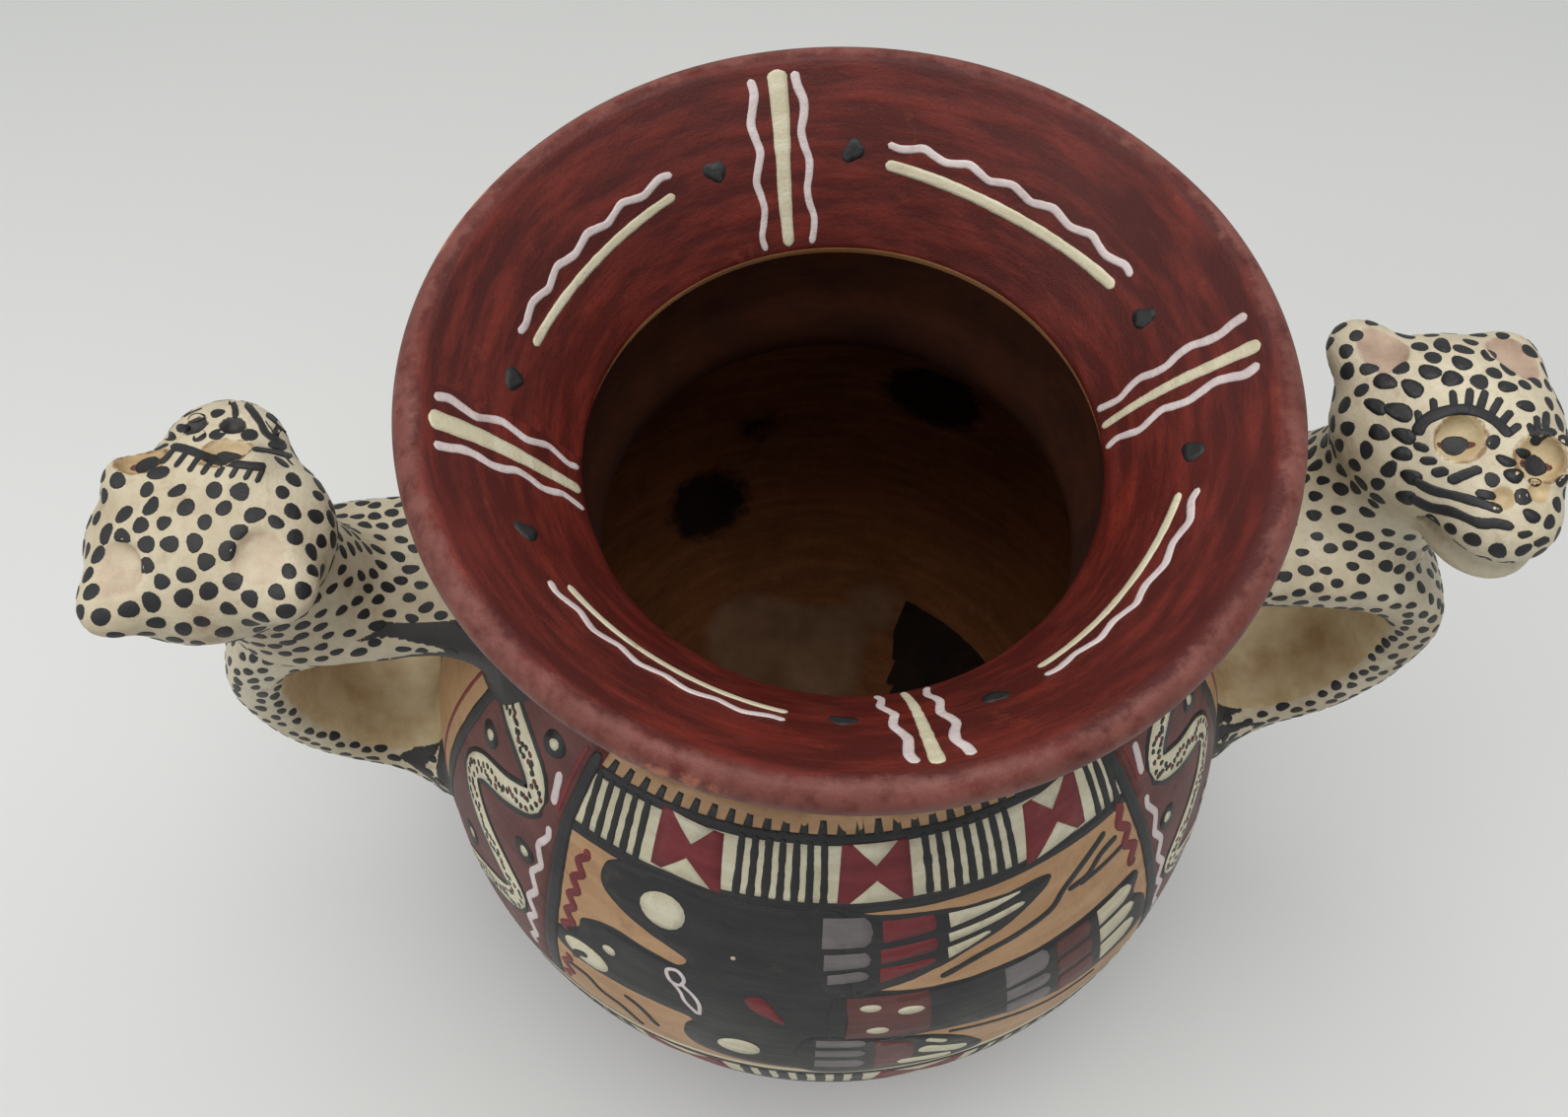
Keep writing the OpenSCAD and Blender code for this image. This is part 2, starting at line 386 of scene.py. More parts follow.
# Handles and heads as one sampled field, so that every join is as soft as luted clay
def egg(p, place, axes, turn=0.0, tilt=0.0, lean=0.0):
    """Rough distance to an egg that is turned about Z, after a tilt about Y and a lean about X."""
    m = Matrix.Rotation(radians(turn), 3, "Z")
    m = m @ Matrix.Rotation(radians(tilt), 3, "Y") @ Matrix.Rotation(radians(lean), 3, "X")
    q = (p - np.array(place)) @ np.array(m)
    r = np.array(axes)
    k0 = np.linalg.norm(q / r, axis=-1)
    k1 = np.linalg.norm(q / (r * r), axis=-1) + 1e-9
    return k0 * (k0 - 1) / k1


def soft_min(a, b, k):
    h = np.clip(k - np.abs(a - b), 0, None) / k
    return np.minimum(a, b) - h * h * k / 4


def soft_cut(a, b, k):
    return -soft_min(-a, b, k)


def turned(p, angle):
    c, s = cos(radians(angle)), sin(radians(angle))
    x, y = p[..., 0] * c + p[..., 1] * s, p[..., 1] * c - p[..., 0] * s
    return columns(x, y, p[..., 2])


def in_head(p, side):
    """Places of the jar's frame, in the frame of a head."""
    return turned(p - [side.head_x, side.head_back, HEAD_Z], side.skull_turn - 90)


def head_lumps(side):
    """The clay lumps of a head: centre, half axes, turn, and how softly each joins the rest."""
    lumps = [((-2.5, 0, 0), (20, 22.5, 14), 0, 1.0)]
    for s in (-1, 1):
        lumps.append(((-14, s * EAR_GAP + side.ear_shift, 4.5), (9, 7.5, 5.2), s * -35, 4.0))
        x, y, z = turned(np.array([-2.5, s * (EYE_GAP + 1), 8.5]), -side.eye_turn)
        lumps.append(((EYE_X + x, side.eye_shift + y, z), (6, 7, 5.5), side.eye_turn, 3.0))
    for place, axes, soft in (((14, 0, 1.5), (12.5, 12.2, 8), 4.0), ((12, 0, -6.2), (14, 11.8, 6), 1.5)):
        x, y, z = turned(np.array(place), -side.face_turn)
        lumps.append(((x, side.face_shift + y, z), axes, side.face_turn, soft))
    return lumps


def head_scale(side):
    """How much the lumps are stretched so that the head is as long and as wide as it should be."""
    spans = []
    for (x, y, z), (a, b, c), turn, soft in head_lumps(side):
        ca, sa = cos(radians(turn)), sin(radians(turn))
        hx, hy = hypot(a * ca, b * sa), hypot(a * sa, b * ca)
        spans.append((x - hx, x + hx, y - hy, y + hy))
    spans = np.array(spans)
    long, wide = spans[:, 1].max() - spans[:, 0].min(), spans[:, 3].max() - spans[:, 2].min()
    return np.array([HEAD_L / long, HEAD_W / wide, 1.0])


def hollow_fields(p, side):
    """Distances to the hollows of a head: its ears, eyes, nostrils and mouth."""
    p = p / head_scale(side)
    ear = p - [0, side.ear_shift, 0]
    brow = turned(p - [EYE_X, side.eye_shift, 0], side.eye_turn)
    face = turned(p - [0, side.face_shift, 0], side.face_turn)
    ears, eyes, nostrils = [], [], []
    for s in (-1, 1):
        ears.append(egg(ear, [-13, s * EAR_GAP, 10.6], [5.5, 5, 1.6]))
        eyes.append(egg(brow, [0.3, s * EYE_GAP, 11.8], [EYE_R * 0.88, EYE_R, EYE_DEPTH], 0, 20, s * -20))
        nostrils.append(egg(face, [17, s * 3.6, 9.2], [NOSTRIL_R] * 3))
    ring = np.hypot(face[..., 0] - 12.5, face[..., 1] / 0.88) - 13.6
    groove = np.hypot(ring, face[..., 2] + 2.2) - MOUTH_GAP / 2
    mouth = np.where(face[..., 0] > 11, groove, 9.0)
    return np.minimum(*ears), np.minimum(*eyes), np.minimum(*nostrils), mouth


def head_field(p, side):
    """Distance to a cat's head in its own frame."""
    q = p / head_scale(side)
    f = np.full(p.shape[:-1], 1e3)
    for place, axes, turn, soft in head_lumps(side):
        f = soft_min(f, egg(q, place, axes, turn), soft)
    for hollow, soft in zip(hollow_fields(p, side), (1.2, 1.0, 0.8, 1.0)):
        f = soft_cut(f, hollow, soft)
    return f


def neck_field(p, drop):
    """Distance to the neck, which widens down to the arm."""
    t = part((p[..., 2] + drop) / (drop - 5))
    x, y = p[..., 0] - (1 - 2 * t), p[..., 1] - (-9 + 6 * t)
    a, b = 15 - 2 * t, 18 - 3 * t
    k = np.sqrt((x / a) ** 2 + (y / b) ** 2)
    grad = np.sqrt((x / a ** 2) ** 2 + (y / b ** 2) ** 2) / (k + 1e-9) + 1e-9
    return np.maximum((k - 1) / grad, np.maximum(p[..., 2] + 2, -drop - p[..., 2]))


def strap_line(side):
    reach, arm_z, root_z = side.reach, side.arm_z, side.root_z
    bow = np.array([reach - BOW_T / 2, (arm_z + root_z) / 2 + 7])
    top = np.array([NECK_R - 1, arm_z - 3])
    low = np.array([BELLY_R - 10, root_z])
    upper = bez(top, top + [54, 6], bow + [0, 20], bow, 40)
    lower = bez(bow, bow - [0, 20], low + [35, -2], low, 40)
    return np.vstack([upper, lower[1:]])


def wall_x(z):
    rise = np.where(z < BELLY_Z, BELLY_DROP, SHOULDER_RISE)
    return BELLY_R * np.sqrt(part(1 - ((z - BELLY_Z) / rise) ** 2))


def strap_field(xs, ys, zs, side):
    """Distance to the strap on a grid. Its middle line lies in the plane of X and Z."""
    line = strap_line(side)
    px, pz = np.meshgrid(xs, zs, indexing="ij")
    best = np.full(px.shape, 1e9)
    share = np.zeros(px.shape)
    mid = np.zeros(px.shape + (2,))
    for i, (a, b) in enumerate(zip(line[:-1], line[1:])):
        d = b - a
        t = part(((px - a[0]) * d[0] + (pz - a[1]) * d[1]) / (d @ d))
        qx, qz = a[0] + t * d[0], a[1] + t * d[1]
        dist = np.hypot(px - qx, pz - qz)
        near = dist < best
        best[near] = dist[near]
        share[near] = ((i + t) / (len(line) - 1))[near]
        mid[near] = columns(qx, qz)[near]
    flare = part(1 - (mid[..., 0] - wall_x(mid[..., 1])) / FLARE_L) ** 2
    w = (STRAP_W / 2 + ROOT_FLARE * flare)[:, None, :]
    swell = np.sin(pi * share) ** 2
    t = ((STRAP_T + (BOW_T - STRAP_T) * swell) / 2 + ROOT_FLARE * 0.6 * flare)[:, None, :]
    u, v = np.abs(ys)[None, :, None] / w, best[:, None, :] / t
    e = 2 * SOFT_EDGE
    g = (u ** e + v ** e) ** (1 / e) + 1e-9
    slope = g ** (1 - e) * np.sqrt((u ** (e - 1) / w) ** 2 + (v ** (e - 1) / t) ** 2) + 1e-3
    return np.clip((g - 1) / slope, -9, 60)


def jar_field(p):
    """Distance to the outside of the jar below its lip, a hair under the turned mesh."""
    r, z = np.hypot(p[..., 0], p[..., 1]), p[..., 2]
    wall = OUTSIDE[len(range(90, UNDER_A, -6)):][::-1]
    edge = np.interp(z, wall[:, 1], wall[:, 0])
    lean = np.interp(z, wall[:, 1], np.gradient(wall[:, 0], wall[:, 1] + np.arange(len(wall)) * 1e-9))
    return (r - edge) / np.sqrt(1 + np.clip(lean, -3, 3) ** 2) + 0.12


INSET = 0.2
NECK_SOFT = 7.0
HEAD_SOFT = 4.0
ROOT_SOFT = 6.0
FILLET_REACH = 9.0
ROOT_DEPTH = 4.0


def handle_field(xs, ys, zs, side):
    strap = strap_field(xs, ys, zs, side)
    p = np.stack(np.meshgrid(xs, ys, zs, indexing="ij"), -1)
    q = in_head(p, side)
    own = soft_min(strap, neck_field(q, HEAD_Z - side.arm_z), NECK_SOFT)
    own = soft_min(own, head_field(q, side), HEAD_SOFT)
    jar = jar_field(p)
    own = own + INSET
    f = soft_min(own, jar, ROOT_SOFT)
    f = np.maximum(f, own - FILLET_REACH)
    return np.maximum(f, -ROOT_DEPTH - jar)


def surface_net(f, origin, step):
    """The surface where a sampled field changes sign, with one vertex in each cell that it crosses."""
    s = f < 0
    n = np.array(f.shape) - 1
    count = sum(s[i:n[0] + i, j:n[1] + j, k:n[2] + k].astype(int) for i, j, k in np.ndindex(2, 2, 2))
    cells = np.argwhere((count > 0) & (count < 8))
    index = np.full(tuple(n), -1, int)
    index[tuple(cells.T)] = np.arange(len(cells))
    total, hits = np.zeros((len(cells), 3)), np.zeros(len(cells))
    for a in np.ndindex(2, 2, 2):
        for axis in np.flatnonzero(np.array(a) == 0):
            fa = f[tuple((cells + a).T)]
            fb = f[tuple((cells + a + np.eye(3, dtype=int)[axis]).T)]
            cross = (fa < 0) != (fb < 0)
            point = np.tile(np.array(a, float), (len(cells), 1))
            point[:, axis] = np.where(cross, fa / np.where(cross, fa - fb, 1), 0)
            total += point * cross[:, None]
            hits += cross
    points = origin + (cells + total / hits[:, None]) * step
    faces = []
    for axis in range(3):
        u, v = (axis + 1) % 3, (axis + 2) % 3
        sl = [slice(1, -1)] * 3
        sl[axis] = slice(0, -1)
        up = list(sl)
        up[axis] = slice(1, None)
        a, b = s[tuple(sl)], s[tuple(up)]
        base = np.argwhere(a != b)
        out = a[tuple(base.T)]
        ring = []
        for du, dv in ((1, 1), (0, 1), (0, 0), (1, 0)):
            c = base.copy()
            c[:, u] += du
            c[:, v] += dv
            ring.append(index[tuple(np.minimum(c, n - 1).T)])
        quad = np.stack(ring, -1)
        quad[~out] = quad[~out][:, ::-1]
        faces.append(quad[(quad >= 0).all(axis=1)])
    return points, np.vstack(faces)


BARELY_IN = -0.02


def settle(f):
    """Fills the corners where two samples inside touch only across a square, which would pinch the net."""
    for _ in range(4):
        for u, v in ((1, 2), (0, 2), (0, 1)):
            sides = []
            for du, dv in ((0, 0), (1, 0), (1, 1), (0, 1)):
                cut = [slice(None)] * 3
                cut[u] = slice(du, f.shape[u] - 1 + du)
                cut[v] = slice(dv, f.shape[v] - 1 + dv)
                sides.append(f[tuple(cut)])
            a, b, c, d = [side < 0 for side in sides]
            sides[1][a & c & ~(b | d)] = BARELY_IN
            sides[0][b & d & ~(a | c)] = BARELY_IN


def largest_part(points, quads):
    """The largest connected part of a mesh, without crumbs."""
    new = np.arange(len(points))
    label = None
    while label is None or (new != label).any():
        label, new = new, new.copy()
        np.minimum.at(new, quads, label[quads].min(axis=1)[:, None])
        new = new[new]
    keep = label == np.bincount(label).argmax()
    index = np.cumsum(keep) - 1
    return points[keep], index[quads[keep[quads[:, 0]]]]


NET = 0.7
SPIKE_GAP = 6.2
SPIKE_L = 11.0
ARM_SPIKE_GAP = 9.0
ARM_SPIKE_L = 21.0


class Handle:
    """A strap with its head: the mesh, where its slip is left off, carries painted shade or is black, and how
    to find its surface.
    """

    def __init__(self, side):
        self.side = side
        self.group = side.name
        xs = np.arange(34, 144, NET)
        ys = np.arange(-34, 36, NET)
        zs = np.arange(side.root_z - 22, 212, NET)
        field_there = handle_field(xs, ys, zs, side)
        settle(field_there)
        p, quads = surface_net(field_there, np.array([xs[0], ys[0], zs[0]]), NET)
        p, self.quads = largest_part(p, quads)
        self.head = in_head(p, side)
        self.find_marks(p)
        self.points = p * [side.flip, side.flip, 1]
        self.tree = BVHTree.FromPolygons(self.points.tolist(), self.quads.tolist())

    def find_marks(self, p):
        """Where the slip is left off, pink or black at each point, where the mouth groove has painted shade,
        and where no spots go.
        """
        side = self.side
        line = strap_line(side)
        xz = p[:, [0, 2]]
        nearest = np.array([np.argmin(((line - q) ** 2).sum(axis=1)) for q in xz])
        self.along = np.gradient(line, axis=0)[nearest]
        off = xz - line[nearest]
        middle = np.array([line[:, 0].max() - 26, (side.arm_z + side.root_z) / 2 + 4])
        inward = middle - line[nearest]
        facing = (off * inward).sum(axis=1) / (length(off) * length(inward))
        to_edge = STRAP_W / 2 - np.abs(p[:, 1])
        self.strap = head_field(self.head, side) > 2.5
        # The clay is left unslipped inside the loop and in the nostrils, and partly so round the eyes; the
        # same tan darkens the mouth groove as painted shade
        below = p[:, 2] < side.arm_z
        loop = part((facing - 0.3) / 0.25) * part((to_edge - 1.5) / 2) * self.strap * below
        ears, eyes, nostrils, mouth = hollow_fields(self.head, side)
        bare = np.maximum(loop, part(0.9 - nostrils))
        bare = np.maximum(bare, part(1.2 - np.abs(eyes) / 0.7) * 0.75)
        # Painted shade in the mouth groove
        bare = np.maximum(bare, part(0.4 - mouth) * 0.8)
        face = turned(self.head - [0, side.face_shift, 0], side.face_turn)
        self.jaw = (face[:, 0] > 8) & (face[:, 2] < -1.4) & ~self.strap
        # Black points rise from the wall, longer ones run out along the edges of the upper arm
        spike = zigzag((p[:, 1] + p[:, 2]) / SPIKE_GAP)
        black = part((1.4 + SPIKE_L * spike ** 1.6 - jar_field(p)) / 0.5)
        up_arm = (p[:, 2] - side.arm_z) / ARM_SPIKE_GAP
        on_arm = (np.abs(up_arm + 0.5) < 1) & (to_edge < 4.5)
        from_root = p[:, 0] - side.spike_x
        black = np.maximum(black, part((ARM_SPIKE_L * zigzag(up_arm) - from_root) / 0.5) * on_arm)
        black *= (p[:, 2] < side.arm_z + 14) & ((to_edge < 4.5) | (facing < 0)) & (loop < 0.4)
        black = np.maximum(black, part((0.7 - nostrils) / 0.4) * side.nose_black)
        self.plain = (np.minimum(nostrils, np.abs(eyes)) > 1.5) & (np.abs(ears) > 0.8)
        rim = part(1.2 - np.abs(eyes - 0.7) / 0.7) * 0.7
        self.marks = dict(bare=bare, rim=rim, pink=part(1.4 - ears) * side.ear_tint, black=black)

    def world(self, x, y, z):
        """A place in the head's own frame, in the frame of the jar."""
        a = radians(self.side.skull_turn - 90)
        px = self.side.head_x + x * cos(a) - y * sin(a)
        py = self.side.head_back + x * sin(a) + y * cos(a)
        return Vector((px * self.side.flip, py * self.side.flip, HEAD_Z + z))

    def make(self, material):
        obj = make_object(self.group + "_handle", self.points, self.quads.tolist(), [material])
        for name, values in self.marks.items():
            mark_points(obj, name, values)

    def spot(self, colour, centre, normal, along, a, b, height):
        """A small oval dab of slip that follows the surface."""
        across = normal.cross(along)
        n = SPOT_SIDES
        turns = np.linspace(0, 2 * pi, n, endpoint=False)
        lump, twist = rng.uniform(0.02, 0.1), rng.uniform(0, 6, 2)
        rough = 1 + lump * np.sin(2 * turns + twist[0]) + lump * np.sin(3 * turns + twist[1])
        places = [(centre, height)]
        for size, lift in ((0.86, height), (1.0, height * 0.7)):
            for t, k in zip(turns, rough):
                reach = along * (a * size * k * cos(t)) + across * (b * size * k * sin(t))
                places.append((centre + reach, lift))
        points, feet = [], []
        for q, lift in places:
            on, up, _, _ = self.tree.find_nearest(q)
            points.append(on + up * lift)
            feet.append(on - up * SUNK)
        points += feet[n + 1:] + [feet[0]]
        faces = []
        inner, outer, foot = 1, 1 + n, 1 + 2 * n
        for i in range(n):
            j = (i + 1) % n
            faces += [(0, inner + i, inner + j), (inner + i, outer + i, outer + j, inner + j)]
            faces += [(outer + i, foot + i, foot + j, outer + j), (foot + i, foot + n, foot + j)]
        pile(self, colour).add([tuple(q) for q in points], faces)


class Sight:
    """A head's chart: millimetres on a level plane through its eyes, seen from the camera."""

    EYE_PLANE = 8.0
    hand = 1

    def __init__(self, handle, shift):
        self.handle = handle
        self.group = handle.group
        self.shift = shift

    def stretch(self, v):
        return 1.0

    def place(self, u, v, h):
        eye = Vector(CAMERA) / MM
        out = []
        for x, y in zip(u, v):
            target = self.handle.world(x, y + self.shift, self.EYE_PLANE)
            on, up, _, _ = self.handle.tree.ray_cast(eye, (target - eye).normalized())
            if on is None:
                on, up, _, _ = self.handle.tree.find_nearest(target)
            out.append(tuple(on + up * h))
        return np.array(out)


# Materials
def linear(rgb):
    c = np.array(rgb) / 255.0
    c = np.where(c <= 0.04045, c / 12.92, ((c + 0.055) / 1.055) ** 2.4)
    return tuple(float(x) for x in c) + (1.0,)


def node(tree, kind, inputs=None, **settings):
    """One shader node, with its settings and with values or links for its inputs."""
    made = tree.nodes.new("ShaderNode" + kind)
    for key, value in settings.items():
        setattr(made, key, value)
    for key, value in (inputs or {}).items():
        if isinstance(value, bpy.types.NodeSocket):
            tree.links.new(value, made.inputs[key])
        else:
            made.inputs[key].default_value = value
    return made


def noise(tree, where, scale, detail=4.0, rough=0.6):
    inputs = {"Vector": where, "Scale": scale, "Detail": detail, "Roughness": rough}
    return node(tree, "TexNoise", inputs).outputs["Fac"]


def limits(tree, value, low, high, to_low=0.0, to_high=1.0):
    return node(tree, "MapRange", {0: value, 1: low, 2: high, 3: to_low, 4: to_high}).outputs[0]


def blend(tree, share, a, b):
    return node(tree, "Mix", {0: share, 6: a, 7: b}, data_type="RGBA").outputs[2]


def sums(tree, operation, *values):
    """The result of one maths node."""
    return node(tree, "Math", dict(enumerate(values)), operation=operation).outputs[0]


def times(tree, a, b):
    return sums(tree, "MULTIPLY", a, b)


def around(tree, position, along):
    """Coordinates that follow the turning of the jar: stretched along it, fine across it."""
    x, y, z = node(tree, "SeparateXYZ", {0: position}).outputs
    angle = sums(tree, "ARCTAN2", y, x)
    radius = sums(tree, "POWER", sums(tree, "MULTIPLY_ADD", y, y, times(tree, x, x)), 0.5)
    return node(tree, "CombineXYZ", {0: times(tree, angle, along), 1: radius, 2: z}).outputs[0]


# Sizes of the noises in the materials, in waves per metre
PATCHES = 38
BRUSH_HAIRS = 330
GRAINS = 900
RUBS = 120
PITS = 1500
MARK_EDGES = 260
MARK_TONES = 75
PAPER_TONES = 3

# How much the streaks are drawn out along the turning, and the depth of the pits in metres
BRUSH_STRETCH = 0.012
PIT_DEPTH = 0.00025


def new_material(name):
    """A material, its node tree, its shader, and the place of each point in the mesh."""
    material = bpy.data.materials.new(name)
    material.use_nodes = True
    tree = material.node_tree
    return material, tree, tree.nodes["Principled BSDF"], node(tree, "TexCoord").outputs["Object"]


def slip(
    name, tone, pale, dark, worn, wear=0.35, streak=0.5, rough=0.5, mottle=0.55, grain=0.55, speck=0.8,
    sheen=0.4,
):
    """Burnished slip: mottled, streaked along the turning, rubbed thin in places and finely pitted."""
    material, tree, shader, position = new_material(name)
    flow = around(tree, position, BRUSH_STRETCH)
    broad = limits(tree, noise(tree, position, PATCHES), 0.35, 0.68)
    brush = limits(tree, noise(tree, flow, BRUSH_HAIRS, 3, 0.55), 0.42, 0.72)
    fine = limits(tree, noise(tree, position, GRAINS, 3), 0.5, 0.8)
    rubbed = limits(tree, noise(tree, position, RUBS, 6, 0.7), 0.66 - 0.12 * wear, 0.78)
    colour = blend(tree, times(tree, broad, mottle), linear(tone), linear(dark))
    colour = blend(tree, times(tree, brush, streak), colour, linear(pale))
    colour = blend(tree, times(tree, fine, speck * 0.5), colour, linear(dark))
    colour = blend(tree, times(tree, rubbed, wear), colour, linear(worn))
    tree.links.new(colour, shader.inputs["Base Color"])
    tree.links.new(limits(tree, broad, 0, 1, rough - 0.07, rough + 0.1), shader.inputs["Roughness"])
    shader.inputs["Specular IOR Level"].default_value = sheen
    pits = noise(tree, position, PITS, 4, 0.7)
    relief = sums(tree, "MULTIPLY_ADD", brush, 0.5, pits)
    bump = node(tree, "Bump", {"Strength": grain, "Distance": PIT_DEPTH, "Height": relief})
    tree.links.new(bump.outputs[0], shader.inputs["Normal"])
    return material


def add_marks(material, marks):
    """Lets marks on a mesh show in its slip. Each has two tones, and how much its edge frays."""
    tree = material.node_tree
    shader = tree.nodes["Principled BSDF"]
    colour = shader.inputs["Base Color"].links[0].from_socket
    position = node(tree, "TexCoord").outputs["Object"]
    patchy = noise(tree, position, MARK_EDGES, 5, 0.65)
    broad = noise(tree, position, MARK_TONES, 6, 0.6)
    for name, light, dark, fray in marks:
        look = blend(tree, limits(tree, broad, 0.35, 0.68), linear(light), linear(dark))
        mark = node(tree, "Attribute", attribute_name=name).outputs["Fac"]
        share = limits(tree, sums(tree, "MULTIPLY_ADD", patchy, -fray, mark), 0.0, 0.25)
        colour = blend(tree, share, colour, look)
    tree.links.new(colour, shader.inputs["Base Color"])


# Each slip has its tone, a paler, a darker and a worn one
COLOURS = dict(
    red=slip("slip_red", (80, 27, 21), (134, 50, 38), (56, 18, 15), (150, 72, 50), rough=0.44, sheen=0.24),
    maroon=slip("slip_maroon", (90, 47, 42), (116, 66, 58), (62, 32, 30), (140, 88, 70), wear=0.4),
    crimson=slip("slip_crimson", (110, 33, 37), (138, 54, 54), (84, 27, 31), (146, 96, 78), wear=0.5),
    tan=slip("slip_tan", (174, 136, 97), (198, 164, 126), (142, 104, 70), (120, 88, 62), 0.6, 0.4),
    cream=slip("slip_cream", (202, 195, 166), (224, 219, 198), (168, 157, 128), (136, 120, 94), wear=0.65),
    chalk=slip("slip_chalk", (206, 194, 190), (228, 220, 216), (164, 146, 146), (132, 84, 80), wear=0.6),
    grey=slip("slip_grey", (110, 103, 102), (132, 124, 122), (84, 78, 78), (98, 80, 70), wear=0.5),
    black=slip("slip_black", (36, 36, 36), (58, 57, 55), (23, 23, 23), (84, 70, 60), wear=0.55, streak=0.35),
    spot=slip("slip_spot", (33, 33, 34), (50, 48, 46), (22, 22, 23), (92, 66, 54), wear=0.45, streak=0.1),
)
FUR = slip(
    "slip_fur", (204, 194, 168), (224, 216, 194), (164, 148, 118), (146, 120, 90), 0.9, 0.2, mottle=0.8
)
BARE = slip("bare_clay", (166, 118, 74), (186, 138, 92), (128, 86, 52), (110, 72, 44), wear=0.4, rough=0.75)
INNER_CLAY = slip(
    "dark_clay", (130, 80, 44), (150, 100, 62), (62, 36, 20), (150, 110, 76), wear=0.5, rough=0.8, sheen=0.2
)
# On the lip: dust, lightened further to act as a painted sheen along its top, and rubbed wear
add_marks(COLOURS["red"], (
    ("dusty", (122, 73, 64), (99, 53, 46), 0.9), ("rubbed", (186, 118, 84), (140, 72, 54), 1.1),
))
# On the heads the tan of unslipped clay also serves as painted shade in the mouth groove
add_marks(FUR, (
    ("bare", (206, 190, 152), (166, 136, 94), 0.5), ("pink", (196, 172, 148), (146, 120, 102), 0.7),
    ("rim", (158, 124, 80), (112, 80, 50), 0.9), ("black", (38, 37, 36), (50, 46, 42), 0.25),
))
# Inside the jar: painted shade that darkens the top of the inside, paler pools of painted light on the floor,
# and dark blotches and a stain
add_marks(INNER_CLAY, (
    ("neck", (66, 32, 14), (46, 20, 8), 0.1), ("pale", (136, 104, 78), (112, 82, 58), 0.3),
    ("soot", (20, 17, 14), (44, 28, 18), 0.6),
))


# Jar body
ROUND = 288
LIP_LOW = 219.0

# Worn stretches of the lip as azimuth, half width in degrees and strength
RUBBED_PLACES = [(150, 32, 1.0), (-112, 26, 0.7), (-50, 12, 0.4), (25, 16, 0.7), (80, 10, 0.6)]

# Places inside the well as azimuth, height and size, and how strong each is: first pools of painted light on
# its floor, then dark blotches
LIT_PLACES = [(91, 9, 17, 1.0), (112, 14, 15, 0.8), (70, 20, 12, 0.4)]
DARK_PLACES = [(112, 54, 15, 0.9), (67, 100, 17, 0.95), (100, 78, 11, 0.5), (140, 120, 16, 0.4)]


def near_place(p, az, z, size, strength):
    """How near points are to a place on the wall of the well, from 0 to its strength."""
    r = np.interp(z, INSIDE[::-1, 1], INSIDE[::-1, 0])
    middle = np.array([r * cos(radians(az)), r * sin(radians(az)), z])
    return strength * part(1.3 - length(p - middle) / size)


# The sharp black stain on the floor of the well: its azimuths, its top, where it starts and how it slants
STAIN_FROM = 28
STAIN_TO = 61
STAIN_TOP = 24
STAIN_IN = 14
STAIN_TIP = 10
STAIN_SLANT = 0.75


def polar(p):
    """The azimuths of points in degrees, and how far they are from the axis."""
    return np.degrees(np.arctan2(p[:, 1], p[:, 0])), np.hypot(p[:, 0], p[:, 1])


def corner_of_soot(p):
    """A sharp black stain that runs from the wall on to the floor of the well."""
    a, r = polar(p)
    wedge = (a > STAIN_FROM) & (a < STAIN_TO) & (a - STAIN_FROM < (r - STAIN_TIP) * STAIN_SLANT)
    return 2.0 * (wedge & (r > STAIN_IN) & (p[:, 2] < STAIN_TOP))


def make_body():
    """The turned wall as one closed mesh, from the floor of the well over the lip to the base."""
    az = np.linspace(0, 360, ROUND, endpoint=False)
    across, back = np.cos(np.radians(az)), np.sin(np.radians(az))
    rings = [columns(r * across, r * back, np.full(ROUND, z)) for r, z in INSIDE[::-1]]
    rings += [JAR.place(az, np.full(ROUND, v), 0.0) for v in JAR.arc]
    p = np.vstack([[[0, 0, FLOOR]], *rings, [[0, 0, 0]]])
    steps = [(j, (j + 1) % ROUND) for j in range(ROUND)]
    faces = [(0, 1 + j, 1 + k) for j, k in steps]
    marks = [1] * ROUND
    for i in range(len(rings) - 1):
        a, b = 1 + i * ROUND, 1 + (i + 1) * ROUND
        faces += [(a + j, b + j, b + k, a + k) for j, k in steps]
        marks += [1 if i < len(INSIDE) - 2 else 2 if i < len(INSIDE) else 0] * ROUND
    faces += [(b + j, len(p) - 1, b + k) for j, k in steps]
    marks += [2] * ROUND
    obj = make_object("jar_body", p, faces, [COLOURS["red"], INNER_CLAY, BARE], marks)
    a, r = polar(p)
    high = p[:, 2] > LIP_LOW
    scuffs = sum(
        part(1 - np.abs((a - az + 180) % 360 - 180) / wide) * strength for az, wide, strength in RUBBED_PLACES
    )
    # Dust and a painted sheen in a ring along the top of the lip
    mark_points(obj, "dusty", part(1.3 - np.abs(r - RIM_R + 1.5) / 5.0) * high * 0.66)
    mark_points(obj, "rubbed", part(1.2 - np.abs(r - RIM_R + 0.5) / 2.0) * high * scuffs)
    # Painted shade: the inside darkens towards the top, under the throat and the shoulder
    mark_points(obj, "neck", part((p[:, 2] - 150) / 18))
    # Painted light: paler pools on the floor of the well, where light falls in through the mouth
    mark_points(obj, "pale", sum(near_place(p, *place) for place in LIT_PLACES))
    mark_points(obj, "soot", sum(near_place(p, *place) for place in DARK_PLACES) + corner_of_soot(p))
    return obj


def fill(colour, outline, turn, height, step=2.6):
    """A field on the jar, turned with its panel."""
    field(colour, JAR, np.array(outline) + [turn, 0], height, step)


def draw(colour, path, turn, width, height, **how):
    """A stroke on the jar, turned with its panel."""
    stroke(colour, JAR, np.array(path) + [turn, 0], width, height, **how)


